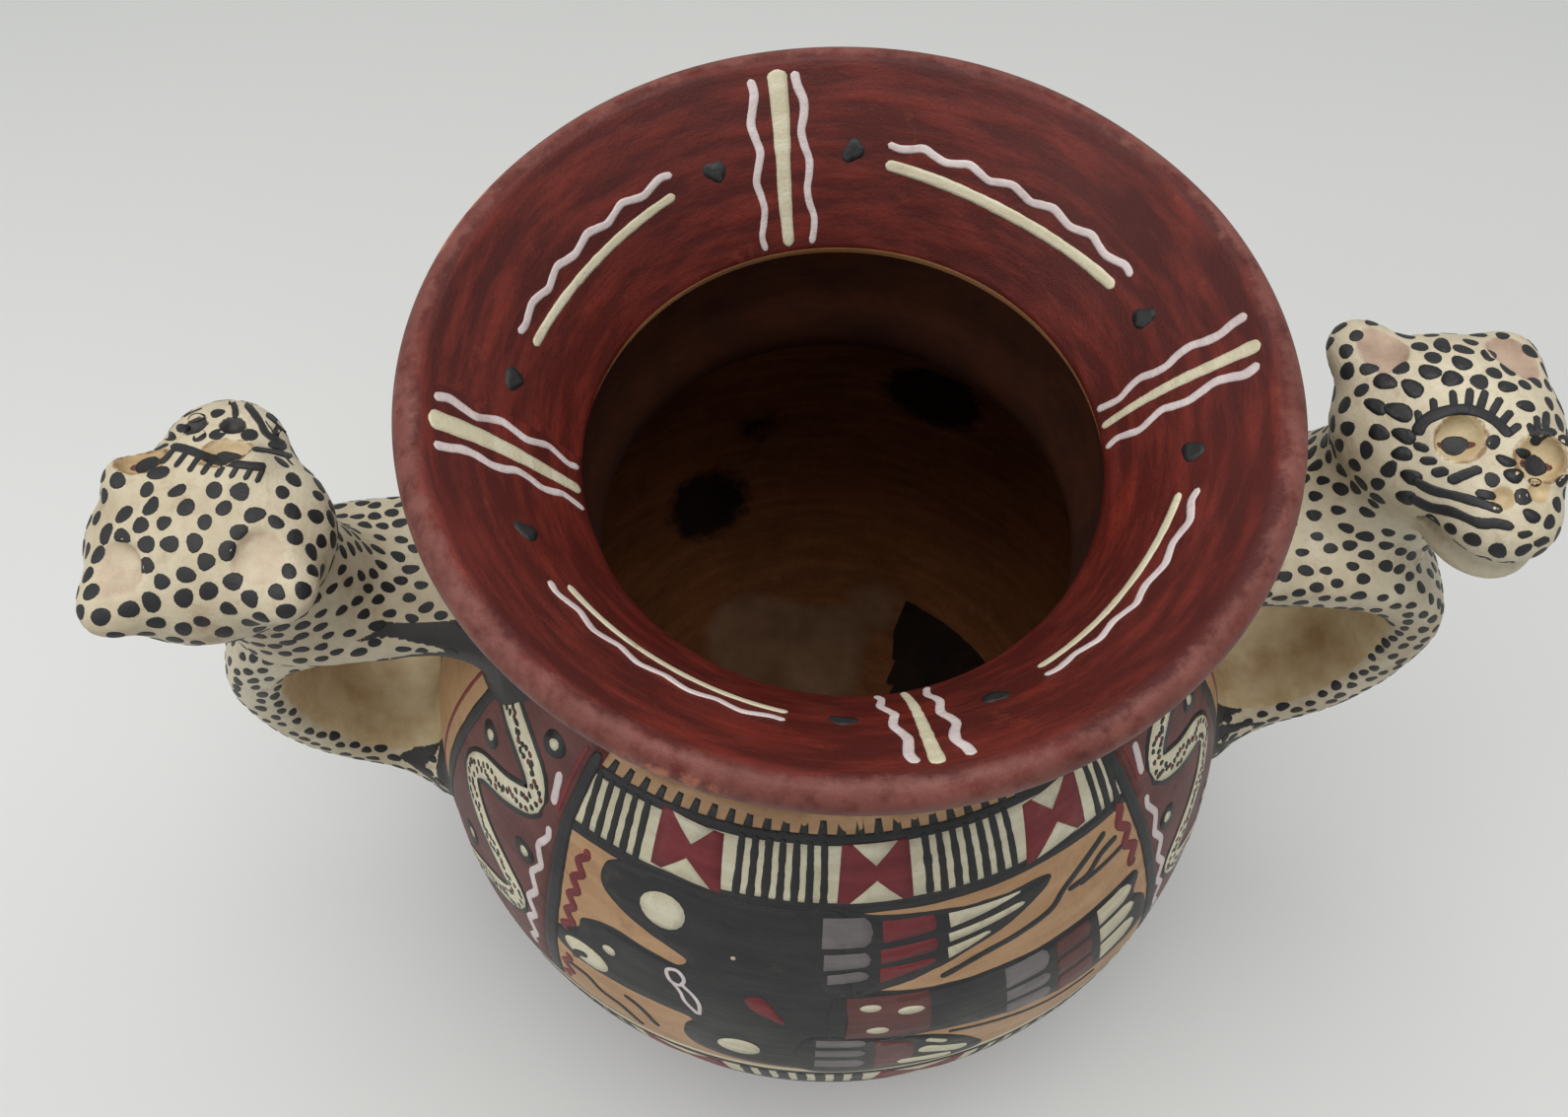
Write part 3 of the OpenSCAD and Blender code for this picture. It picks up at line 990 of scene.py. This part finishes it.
# Rim motifs, as azimuth in degrees and arc in millimetres from the top of the lip
LILAC_W = 1.5
RIM_H = 0.08
RAYS = [
    ((105, 102.4), (99.5, 98), (93.6, 94.8), 2.6),
    ((-177.4, -177.6), (-171.6, -174), (-167.2, -170.2), 2.6),
    ((-86.8, -85.2), (-81.3, -82.7), (-76.9, -79), 1.6),
    ((-1.9, -1), (3.6, 2), (7.6, 6.9), 1.7),
]
RIM_DOTS = [
    (17.8, -19.8), (85.3, -18.3), (112, -18.5), (172.6, -18.5),
    (-156.7, -17.8), (-93.8, -20.3), (-69.7, -19.6), (-11.8, -17.2),
]
ARCS = [
    (26.5, 79, -21, -20.4, 1.9, 2.2), (121, 164, -19.8, -20.6, 1.2, 1.8),
    (-145.5, -102.5, -20.4, -21.4, 1.7, 1.7), (-60.3, -19.5, -22.2, -18.8, 0.9, 1.7),
]


def waves(u0, v0, u1, v1, count, size, along_u, phase=0.0):
    """A wavy path from one place of a chart to another."""
    t = np.linspace(0, 1, count * 4 + 1)
    shift = size * np.sin(2 * pi * count * t + phase) * (0.75 + 0.5 * rng.random(len(t)))
    u, v = u0 + (u1 - u0) * t, v0 + (v1 - v0) * t
    return columns(u, v + shift) if along_u else columns(u + shift, v)


def paint_rim():
    for (a0, a1), (b0, b1), (c0, c1), width in RAYS:
        draw("chalk", waves(a0, -36, a1, -4.0, 3, 0.55, False), 0, LILAC_W, RIM_H, crown=0.08)
        draw("cream", waves(b0, -36, b1, -3.0, 1, 0.15, False), 0, width, RIM_H, crown=0.09, taper=-0.25)
        draw("chalk", waves(c0, -36, c1, -3.6, 3, 0.55, False, 2.0), 0, LILAC_W, RIM_H, crown=0.08)
    for az, v in RIM_DOTS:
        fill("black", oval(JAR, az, v, 2.0, 2.1, 20, 0.13), 0, RIM_H, 1.0)
    for a0, a1, v0, v1, bow, width in ARCS:
        t = np.linspace(0, 1, 9)
        path = columns(a0 + (a1 - a0) * t, v0 + (v1 - v0) * t - bow * np.sin(pi * t))
        draw("cream", path, 0, width, RIM_H, crown=0.09)
        wavy = waves(a0 - 1, v0 + 3.6, a1, v1 + 3.8, round((a1 - a0) / 8.6), 0.55, True)
        wavy[:, 1] -= bow * 0.6 * np.sin(pi * np.linspace(0, 1, len(wavy)))
        draw("chalk", wavy, 0, LILAC_W, RIM_H, crown=0.08)


# Painted fields of the body: the front and the back carry the same ones, half a turn apart
GROUND_H = 0.03
BAND_H = 0.06
SHAPE_H = 0.09
MARK_H = 0.12
TOP_H = 0.15
MIDDLE = -89.0
HALF = 47.0
LINE_TOP = 74.0
BAND_TOP = 76.0
BAND_END = 88.7
PANEL_TOP = 91.0
PANEL_END = 149.0
BAND_2 = 153.5
BAND_2_END = 166.0


def sag(az):
    """The painted bands hang a little lower at the ends of a panel than in its middle."""
    return 5.5 * ((az - MIDDLE) / HALF) ** 2


def band(colour, a0, a1, v0, v1, height, turn):
    """A level field between two azimuths that follows the sag of the bands."""
    az = np.linspace(a0, a1, max(2, int((a1 - a0) / 2) + 1))
    top, low = [columns(az, v + sag(az)) for v in (v0, v1)]
    fill(colour, np.vstack([top, low[::-1]]), turn, height)


def block(az, v0, v1, turn):
    """A crimson block with a pale triangle at its top and bottom."""
    lean = -(az - MIDDLE) * 0.035
    s = sag(az)
    sides = [(az - 5.8 - lean, v0 + s), (az + 5.8 - lean, v0 + s), (az + 5.6 + lean, v1 + s)]
    sides.append((az - 6.2 + lean, v1 + s))
    fill("crimson", sides, turn, MARK_H)
    mid = (v0 + v1) / 2 + s
    above = [(az - 3.9 - lean, v0 + s + 0.1), (az + 3.9 - lean, v0 + s + 0.1), (az, mid - 1.6)]
    below = [(az - 4.3 + lean, v1 + s - 0.1), (az, mid + 1.6), (az + 3.9 + lean, v1 + s - 0.1)]
    for corners in (above, below):
        fill("cream", corners, turn, TOP_H)


def hatching(a0, a1, v0, v1, count, turn):
    """Black stripes on a pale band, which lean outwards."""
    pitch = (a1 - a0) / (count + 0.5)
    for i in range(count):
        az = a0 + pitch * (i + 0.75)
        lean = -(az - MIDDLE) * 0.025
        wide = 1.25 + 0.3 * rng.random()
        path = [(az - lean, v0 + sag(az) - 0.4), (az + 0.1, (v0 + v1) / 2 + sag(az))]
        path.append((az + lean, v1 + sag(az) + 0.4))
        draw("black", path, turn, wide * JAR.stretch(v0), MARK_H, crown=0.04, rough=0.12)


def paint_bands(turn):
    start, end = MIDDLE - HALF - 1.0, MIDDLE + HALF + 1.0
    band("tan", start, end, 69.5, 74.5, BAND_H, turn)
    for az in np.arange(start + 2, end - 1, 3.3):
        foot = np.array([(az - 0.9, 74.6), (az - 0.5, 71.2), (az + 0.6, 71.2), (az + 0.9, 74.6)])
        fill("black", foot + [0, sag(az)], turn, SHAPE_H)
    band("black", start, end, LINE_TOP, BAND_TOP + 0.2, SHAPE_H, turn)
    band("black", start, end, BAND_END - 0.2, PANEL_TOP, SHAPE_H, turn)
    upper = (BAND_TOP, BAND_END, (-117.0, -86.3, -54.8))
    lower = (BAND_2, BAND_2_END, (-112.0, -80.0))
    for v0, v1, blocks in (upper, lower):
        band("cream", start, end, v0, v1, BAND_H, turn)
        ends = [start] + [q for b in blocks for q in (b - 6.8, b + 6.6)] + [end]
        for a0, a1 in zip(ends[::2], ends[1::2]):
            hatching(a0, a1, v0, v1, round((a1 - a0) / 2.65), turn)
        for az in blocks:
            block(az, v0, v1, turn)
    band("cream", start, end, PANEL_END, PANEL_END + 2.5, BAND_H, turn)
    band("black", start, end, PANEL_END + 2.3, BAND_2 + 0.2, SHAPE_H, turn)
    band("black", start, end, BAND_2_END - 0.2, BAND_2_END + 2.4, SHAPE_H, turn)


# The plumed figure of the main panel, as simple outlines on the chart of the front
FIGURE = [
    (-127, 94.6), (-129, 99.5), (-127.4, 103.8), (-122, 106.9), (-116, 109.2), (-113.2, 110.6),
    (-114.2, 113.2), (-118, 113), (-123.5, 112.3), (-127.2, 113.8), (-129.4, 116.5), (-129.4, 119.6),
    (-131.4, 122.6), (-133.2, 126.2), (-132.2, 130.2), (-128.6, 131.9), (-122, 130.8), (-114, 130.4),
    (-111.2, 131.2), (-112.1, 135), (-112, 140), (-110.2, 144.8), (-106, 147.2), (-99, 147.8), (-92, 147),
    (-90.4, 138), (-90.6, 126), (-90, 112), (-91.6, 104), (-91, 96), (-92, 90.6), (-105, 91), (-118, 92),
]
UPPER_WING = [
    (-96, 90), (-87, 91.6), (-79, 92.8), (-70, 94.8), (-62, 95.7), (-59, 96.9), (-59.6, 98.6), (-64, 101.4),
    (-68.5, 103.6), (-74, 105.6), (-79, 108.4), (-85, 111.2), (-91.6, 113.4), (-95, 108),
]
TAIL = [
    (-92, 112.6), (-80, 113.2), (-66, 114.2), (-50, 114.7), (-45.6, 115.4), (-45, 118.4), (-46.4, 122.4),
    (-44.6, 127), (-44, 133), (-45, 140.6), (-54, 140.4), (-62, 137.4), (-70, 133.4), (-80, 130.6),
    (-92, 131),
]
LOWER_WING = [
    (-96, 129.6), (-86, 130), (-80, 131.8), (-76, 136), (-73.2, 142), (-72.6, 149.6), (-84, 150),
    (-96, 148.6),
]
LEAF = [(-104.6, 117.2), (-102.4, 116), (-100.8, 118.6), (-98.8, 124.4), (-101.4, 122.6), (-103.6, 120.4)]


# Feathers: their azimuths, the heights of both edges at both ends, and how far the tip is rounded
FEATHERS = [
    ("grey", -94.6, -87.2, 92, 92, 99.6, 99.2, 1.2),
    ("grey", -94.2, -87.6, 101.2, 100.8, 105.6, 104.6, 0.8),
    ("grey", -93.6, -87.8, 106.8, 105.8, 109.6, 108.6, 1.5),
    ("crimson", -85.8, -77.8, 93.2, 93.8, 98.6, 97.8, 0.4),
    ("crimson", -86.2, -77.9, 100.4, 99.6, 104, 103, 0.4),
    ("crimson", -86.4, -78.4, 105.4, 104.8, 109.4, 106.2, 0.4),
    ("cream", -75.8, -64.2, 94.6, 96.2, 98.2, 97, 1.5),
    ("cream", -76.2, -64, 99.6, 99, 101.8, 100.4, 1.5),
    ("cream", -76.6, -70, 103.2, 102.4, 106.2, 103.4, 0.8),
    ("maroon", -90.8, -79.4, 113.8, 114, 129.2, 129.2, 0.3),
    ("grey", -68.8, -62, 115.8, 115.8, 123, 123, 1),
    ("grey", -68.8, -62, 124.4, 125, 128.6, 129.56, 1),
    ("grey", -68.8, -62, 130, 131.2, 134.6, 136.52, 1),
]
for v0, v1 in ((116.2, 122), (123.4, 129.4), (130.8, 138.4)):
    FEATHERS.append(("maroon", -60.8, -54.8, v0, v0, v1, v1, 0.5))
    FEATHERS.append(("cream", -53.4, -46.6, v0 + 0.2, v0 + 0.2, v1, v1 - 0.2, 2))
for v0, v1 in ((130.2, 133.4), (135.2, 138.8), (141, 145.8)):
    FEATHERS.append(("grey", -94.6, -88, v0, v0, v1, v1, 1))
FEATHERS.append(("maroon", -86.8, -81.6, 131.2, 133.6, 148.4, 147.2, 0.4))
OVALS = [
    (-118.2, 100.3, 5, 4.3), (-104.6, 138.8, 4.6, 3.9), (-87.6, 117.5, 2.2, 1.2),
    (-82.2, 119.8, 2.7, 1.4), (-86.6, 126.2, 2.3, 1.3), (-124.2, 120.3, 1.6, 1.3),
    (-127.4, 127.6, 5.9, 3.4), (-106.8, 105.8, 0.5, 0.5),
]
PLUMES = [
    ([(-80, 134.4), (-78.6, 136.2), (-77.2, 138)], 1.5),
    ([(-80.8, 139), (-77.5, 142.5), (-74.2, 146)], 3.4),
    ([(-83.6, 145.4), (-80, 146.6), (-76.2, 148.6)], 3.2),
]
EYE_LINE = [(-129.2, 132.4), (-128.8, 129.6), (-127.2, 127.8)]
CHAIN_EYE = [(-115.6, 116.4), (-114.2, 115.2), (-113, 117.2), (-113.4, 119.6), (-114.8, 119.4)]
CHAINS = [
    [(-114.6, 119.4), (-113.2, 122), (-112.4, 124.8), (-110.4, 128.2)],
    [(-113.2, 119.2), (-111.4, 121.6), (-110.4, 124.4), (-110.2, 128.2)],
]


def feather(colour, a0, a1, v0, v1, w0, w1, tip, turn):
    mid = (v1 + w1) / 2
    outline = [
        (a0, v0), (a1 - tip, v1), (a1 - tip * 0.3, v1 + (mid - v1) * 0.35), (a1, mid),
        (a1 - tip * 0.3, w1 - (w1 - mid) * 0.35), (a1 - tip, w1), (a0, w0),
    ]
    fill(colour, outline, turn, MARK_H, 2.0)


def paint_figure(turn):
    for outline in (FIGURE, UPPER_WING, TAIL, LOWER_WING):
        fill("black", smooth(outline, step=1.2), turn, SHAPE_H)
    for row in FEATHERS:
        feather(*row, turn)
    for path, width in PLUMES:
        draw("cream", path, turn, width, MARK_H)
    for az, v, a, b in OVALS:
        fill("cream", oval(JAR, az + turn, v, a, b, 4, 0.02), 0, TOP_H, 2.0)
    draw("black", EYE_LINE, turn, 2.0, TOP_H + 0.05)
    fill("crimson", smooth(LEAF, step=1.0), turn, MARK_H, 1.5)
    draw("chalk", CHAIN_EYE, turn, 0.9, MARK_H, closed=True)
    for chain in CHAINS:
        draw("chalk", chain, turn, 0.9, MARK_H)


TWIGS = [
    ([(-78, 111), (-72, 108.2), (-66, 107), (-60.5, 105.6), (-57.5, 102.6), (-53, 100), (-48, 97.8)], 1.5),
    ([(-57, 103.8), (-53.4, 103.9), (-50, 101.8), (-46.4, 101.5)], 1.4),
    ([(-55, 104.6), (-50, 105), (-46, 105.1)], 1.2),
    ([(-77, 133), (-70, 136.4), (-62, 141), (-54, 143.4)], 1.1),
    ([(-130.6, 138), (-127, 137.8), (-124.6, 141), (-121.4, 142.6), (-118.2, 148.4)], 1.6),
    ([(-121, 135), (-118.4, 137.4), (-115.8, 143.4)], 1.4),
]


def paint_panel(turn):
    left = [(-137.2, 96), (-135, 112), (-133.6, 130), (-132.4, 151)]
    right = [(-43.4, 151), (-42.6, 130), (-42, 112), (-41.4, 96)]
    top = [(az, PANEL_TOP + sag(az) - 0.4) for az in np.linspace(-41.4, -137.2, 36)]
    fill("tan", np.vstack([left, right[:-1], top[:-1]]), turn, GROUND_H)
    draw("black", [(-138.6, 78), (-137.6, 90)] + left, turn, 3.4, MARK_H, crown=0.04)
    draw("black", right + [(-41.0, 90), (-40.6, 80)], turn, 3.2, MARK_H, crown=0.04)
    draw("crimson", waves(-132.6, 98, -131.0, 124, 5, 0.65, False), turn, 1.9, MARK_H)
    draw("crimson", waves(-130.6, 134, -130.0, 148, 2, 0.6, False), turn, 1.7, MARK_H)
    draw("crimson", waves(-44.6, 95, -45.0, 113, 3, 0.7, False), turn, 2.2, MARK_H)
    paint_figure(turn)
    for path, width in TWIGS:
        draw("black", path, turn, width, MARK_H)


# The side panels carry a spotted serpent on maroon
SERPENT = [
    (-164, 88.5), (-158, 90.8), (-151, 92.6), (-145.6, 95.4), (-144, 100), (-148.6, 105), (-155, 110),
    (-156.6, 116), (-152.2, 121.2), (-145, 125.8), (-140.8, 130), (-142, 135.4), (-147.4, 141), (-152, 149),
    (-153.4, 158),
]
LAST = 168.0


def paint_side(turn, mirror):
    """The panel between the main one and a handle. The mirrored one lies on the other side of the front."""
    def at(points):
        p = np.array(points, float)
        if mirror:
            p[:, 0] = 2 * MIDDLE - p[:, 0]
        return p + [turn, 0]

    edge = [(-139.6, 70), (-138.6, 90), (-136, 112), (-134.6, 130), (-133.4, LAST)]
    field("maroon", JAR, at(edge + [(-162, LAST), (-163, 130), (-163, 70)]), GROUND_H)
    stroke("black", JAR, at(SERPENT), 8.2, BAND_H, 0.0, rough=0.02)
    stroke("cream", JAR, at(SERPENT), 5.6, SHAPE_H, 0.0, rough=0.03)
    line = smooth(at(SERPENT) * [1.5, 1], closed=False, step=1.9) / [1.5, 1]
    for i, (az, v) in enumerate(line[1:-1]):
        for s in (-1, 1):
            u, w = az + s * (0.8 + 0.3 * rng.random()), v + s * 0.9 * sin(i) + 0.4
            colour = "maroon" if (i + s) % 3 == 0 else "black"
            field(colour, JAR, oval(JAR, u, w, 0.75, 0.6, 30, 0.1, 9), MARK_H, 3)
    for u, w in at([(-146.4, 85.4), (-157.0, 101.6), (-141.6, 113.6), (-152.6, 134.6)]):
        field("black", JAR, oval(JAR, u, w, 3.2, 2.8, 10, 0.05), BAND_H, 2)
        field("cream", JAR, oval(JAR, u, w, 1.3, 1.2, 10, 0.05, 10), SHAPE_H, 2)
    stroke("chalk", JAR, at([(-142.6, 88.4), (-141.6, 92), (-140.6, 95.6)]), 1.9, SHAPE_H)
    stroke("chalk", JAR, at(waves(-139.6, 101, -136.4, 146, 5, 0.6, False)), 1.8, SHAPE_H)
    stroke("crimson", JAR, at([(-141.2, 79), (-140.4, 88), (-139.6, 96)]), 1.2, SHAPE_H)
    # Beside the handle: a black bar, then bare tan with a thin red line
    beside = [(-162, 70), (-162, 100), (-162, 130), (-161, LAST)]
    field("tan", JAR, at(beside + [(-178, LAST), (-178, 70)]), GROUND_H + 0.015)
    stroke("black", JAR, at(beside), 3.4, MARK_H, 0.04)
    stroke("crimson", JAR, at([(-166, 72), (-166.4, 100), (-166, 130), (-165, LAST)]), 1.1, MARK_H)


def paint_lower(turn):
    """Below the bands the slip runs plain to the base."""
    az = np.linspace(-178.6, 0.6, 60)
    top, low = [columns(az, np.full(60, v)) for v in (LAST, LAST + 2.2)]
    fill("black", np.vstack([top, low[::-1]]), turn, SHAPE_H + 0.015)


# Faces, on the chart of each head: brows with lashes, eyes, whisker lines and the spots beside them
RIGHT_BROW = [(5, -8.6), (2, -7), (-0.4, -3.6), (-1.6, 0.2), (-1.2, 3.6), (0.6, 6.4), (3.6, 8.6)]
RIGHT_LASHES = [
    ((3.4, -7.6), (-0.6, -7.8)), ((0.8, -4.8), (-3.6, -4.6)), ((-0.8, -1), (-5.8, -0.8)),
    ((-1, 1.4), (-6.6, 2.6)), ((-0.6, 3.2), (-6.4, 5.4)), ((0.2, 5), (-5, 8)), ((1.6, 6.6), (-2.2, 9.6)),
    ((3.2, 8), (0.6, 10.8)),
]
RIGHT_LINES = [
    ([(2, 17.2), (1.8, 15.6), (3, 13.8), (5, 12.4)], 1.9), ([(1.4, 15.2), (-2.8, 16)], 1.3),
    ([(2.2, 13.8), (-1.6, 14)], 1.3), ([(3.4, 12.8), (0.2, 12.4)], 1.3),
    ([(14.8, -10.2), (16.6, -7), (17.4, -3), (18.4, 1), (19.6, 5)], 2.1),
    ([(18.4, -11.2), (20.2, -8), (20.8, -4), (22.6, 0.4), (22.4, 3.4), (22.8, 6.6)], 2.1),
    ([(14.6, -4), (12.8, -1), (11, 2.4)], 1.9), ([(16.4, 0.6), (16.8, 4.2)], 1.8),
    ([(7.2, -9.4), (8, -6.6)], 1.9), ([(10.6, -8.6), (10.2, -5.4)], 1.9), ([(13.2, -6.8), (12, -3.6)], 1.9),
    ([(24.6, 7), (23.6, 9.6)], 1.4), ([(26.2, 9.6), (24.4, 12.4)], 1.3),
]
RIGHT_SPOTS = [
    (-7.6, 9.5, 1.6, 1.2), (-3.6, 12.4, 1.6, 1.1), (-14.6, 7, 1.4, 1.1), (-12.2, 1.7, 1.7, 1.5),
    (-8.4, -0.6, 1.9, 1.6), (-16, -1.5, 1.6, 1.4), (-9.5, -4.6, 1.9, 1.6), (-5.4, -8.2, 2.1, 1.7),
    (0.2, -11.2, 2.3, 2), (5.4, -10.8, 2, 1.6),
    (-6.4, -13.2, 2, 1.7), (-0.6, -15.4, 1.9, 1.6), (5.2, -15.4, 1.9, 1.5), (9.4, -11.6, 1.8, 1.4),
    (14.2, -10.4, 1.9, 1.4), (18.6, -11.8, 1.6, 1.4), (9, 7, 1.6, 1.1), (12, 8, 1.7, 1.4),
    (13, 11.6, 1, 0.8), (7, 10.4, 1.3, 1), (20.2, 10, 1.5, 1.2), (9.6, 10.6, 0.8, 0.6),
]
LEFT_BROW = [(13.4, 5.2), (12.4, 2), (10, -2.6), (8.4, -7.6), (7.4, -12.4)]
LEFT_LASHES = [
    ((13, 4.4), (9.8, 6.6)), ((12.2, 2), (8.8, 4)), ((11.2, -0.4), (7.6, 1.4)), ((10.2, -2.8), (6.8, -1)),
    ((9.4, -5.2), (6, -3.6)), ((8.8, -7.6), (5.6, -6.2)), ((8, -10), (5, -8.8)), ((7.4, -12), (4.2, -11)),
]
LEFT_LINES = [
    ([(11.6, -9.6), (10.6, -13.6), (9.2, -17)], 1.1), ([(23.4, -4.4), (21, -5.6), (18.6, -6)], 1.1),
    ([(21.8, -7.6), (17.6, -10.4), (14.6, -12), (12, -15.4)], 1.3),
    ([(19.2, -11.6), (14.6, -16), (10.4, -18.6)], 1.2),
    ([(12.6, -12.4), (11.2, -15.8)], 1.6), ([(21.6, 5), (22.6, 1)], 1.1),
]
LEFT_SPOTS = [(15.2, 0.2, 1.2, 1), (17.2, 3.4, 1.3, 0.8), (19.3, 1.2, 1.4, 0.9), (15.6, 5.6, 1.2, 0.8)]
FACE_H = 0.09


def paint_face(sight, brow, brow_w, lashes, lines, spots):
    stroke("spot", sight, brow, brow_w, FACE_H + 0.04)
    for start, end in lashes:
        stroke("spot", sight, [start, np.mean([start, end], axis=0), end], brow_w * 0.66, FACE_H)
    for path, width in lines:
        if len(path) == 2:
            path = [path[0], np.mean(path, axis=0), path[1]]
        stroke("spot", sight, path, width, FACE_H, rough=0.12)
    for x, y, a, b in spots:
        outline = oval(sight, x, y, b * 1.15, a * 1.1, rng.uniform(-25, 25), 0.08, 14)
        field("spot", sight, outline, FACE_H, 1.2)


def paint_eye(handle, side_of_face):
    """The painted eye in its hollow: a dark pupil with red corners."""
    side = handle.side
    x, y, z = turned(np.array([0.3, side_of_face * EYE_GAP, 25.0]), -side.eye_turn)
    where = np.array([EYE_X + x, side.eye_shift + y, z]) * head_scale(side)
    on, up, _, _ = handle.tree.ray_cast(handle.world(*where), Vector((0, 0, -1)))
    along = (handle.world(0, 1, 0) - handle.world(0, 0, 0)).cross(up).cross(up).normalized()
    for s in (-1, 1):
        handle.spot("maroon", on + along * (2.5 * s), up, along, 1.4, 0.8, FACE_H)
    handle.spot("spot", on, up, along, 2.6, 2.1, FACE_H + 0.05)


HEAD_SPACING = 3.7
STRAP_SPACING = 3.25
LINE_SPACING = 1.9


def paint_spots(handle):
    """Spots all over a head and its strap, but none inside the loop, on the jaw or over the face."""
    heaps = [heap for (group, colour), heap in PAINT.items() if group == handle.group]
    taken = [p for heap in heaps for p in np.vstack(heap.points)]
    tree = KDTree(max(1, len(taken)))
    for i, p in enumerate(taken):
        tree.insert(p, i)
    tree.balance()
    clear = (handle.marks["bare"] < 0.15) & (handle.marks["black"] < 0.1) & ~handle.jaw
    clear &= handle.plain & (jar_field(handle.points) > 3.2)
    cells = {}
    for i in rng.permutation(np.flatnonzero(clear)):
        p = Vector(handle.points[i])
        space = STRAP_SPACING if handle.strap[i] else HEAD_SPACING
        key = tuple(int(np.floor(c / HEAD_SPACING)) for c in p)
        beside = [tuple(k + j - 1 for k, j in zip(key, step)) for step in np.ndindex(3, 3, 3)]
        crowded = any((p - q).length < space for cell in beside for q in cells.get(cell, []))
        if crowded or (taken and tree.find(p)[2] < LINE_SPACING):
            continue
        cells.setdefault(key, []).append(p)
        on, up, _, _ = handle.tree.find_nearest(p)
        run_x, run_z = handle.along[i]
        run = Vector((run_x * handle.side.flip, 0.4 * rng.standard_normal(), run_z))
        if not handle.strap[i]:
            run = Vector(rng.standard_normal(3))
        along = (run - up * run.dot(up)).normalized()
        grow = 0.85 + 0.3 * rng.random()
        a, b = (1.55, 1.05) if handle.strap[i] else (1.7, 1.4)
        handle.spot("spot", on, up, along, a * grow, b * grow, FACE_H)


# Stage, lights and camera
FLOOR_SIZE = 6.0
SKY = (0.93, 0.96, 1.0, 1)
SKY_STRENGTH = 0.55


def make_stage():
    bpy.ops.mesh.primitive_plane_add(size=FLOOR_SIZE, location=(0, 0, 0))
    floor = bpy.context.object
    floor.name = "floor"
    material, tree, shader, position = new_material("stage_paper")
    soft = limits(tree, noise(tree, position, PAPER_TONES), 0.3, 0.7)
    colour = blend(tree, soft, linear((208, 209, 206)), linear((213, 213, 210)))
    # Painted shade: the paper darkens towards the back, where less light reaches it
    depth = node(tree, "SeparateXYZ", {0: position}).outputs[1]
    colour = blend(tree, limits(tree, depth, 0.05, 0.5), colour, linear((184, 185, 181)))
    tree.links.new(colour, shader.inputs["Base Color"])
    shader.inputs["Roughness"].default_value = 0.9
    shader.inputs["Specular IOR Level"].default_value = 0.1
    floor.data.materials.append(material)
    world = bpy.data.worlds.new("studio")
    world.use_nodes = True
    background = world.node_tree.nodes["Background"]
    background.inputs["Color"].default_value = SKY
    background.inputs["Strength"].default_value = SKY_STRENGTH
    bpy.context.scene.world = world


def add_light(name, place, aim, size, power, colour):
    data = bpy.data.lights.new(name, "AREA")
    data.shape = "RECTANGLE"
    data.size, data.size_y = size
    data.energy = power
    data.color = colour
    obj = bpy.data.objects.new(name, data)
    obj.location = place
    direction = Vector(aim) - Vector(place)
    obj.rotation_euler = direction.to_track_quat("-Z", "Y").to_euler()
    bpy.context.scene.collection.objects.link(obj)


# Lights, each with its place, aim, size, power and colour
LIGHTS = [
    ("overhead", (0.02, 0.08, 1.35), (0, 0, 0.1), (1.2, 1.0), 12.0, (1.0, 0.98, 0.95)),
    ("window", (-1.3, -0.25, 1.0), (-0.1, 0, 0.05), (1.0, 0.8), 5.0, (1.0, 1.0, 1.0)),
]


def make_camera():
    data = bpy.data.cameras.new("camera")
    data.sensor_width = FILM_WIDTH
    data.lens = FILM_WIDTH * LENS_PX / FRAME_PX
    data.clip_start = 0.01
    obj = bpy.data.objects.new("camera", data)
    back = CAMERA_RIGHT.cross(CAMERA_UP)
    turn = Matrix((CAMERA_RIGHT, CAMERA_UP, back)).transposed().to_4x4()
    obj.matrix_world = Matrix.Translation(CAMERA) @ turn
    bpy.context.scene.collection.objects.link(obj)
    bpy.context.scene.camera = obj


# Build
body = make_body()
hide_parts("vase")
paint_rim()
for half_turn in (0.0, 180.0):
    paint_panel(half_turn)
    paint_bands(half_turn)
    paint_side(half_turn, False)
    paint_side(half_turn, True)
    paint_lower(half_turn)
right, left = Handle(RIGHT), Handle(LEFT)
paint_face(Sight(right, -1.0), RIGHT_BROW, 2.3, RIGHT_LASHES, RIGHT_LINES, RIGHT_SPOTS)
paint_face(Sight(left, 1.0), LEFT_BROW, 1.7, LEFT_LASHES, LEFT_LINES, LEFT_SPOTS)
for handle in (right, left):
    handle.make(FUR)
    for side_of_face in (-1, 1):
        paint_eye(handle, side_of_face)
    paint_spots(handle)
for (group, colour), heap in PAINT.items():
    make_object(group + "_slip_" + colour, np.vstack(heap.points), heap.faces, [COLOURS[colour]])
make_stage()
make_camera()
for light in LIGHTS:
    add_light(*light)
bpy.context.scene.view_settings.view_transform = "Standard"
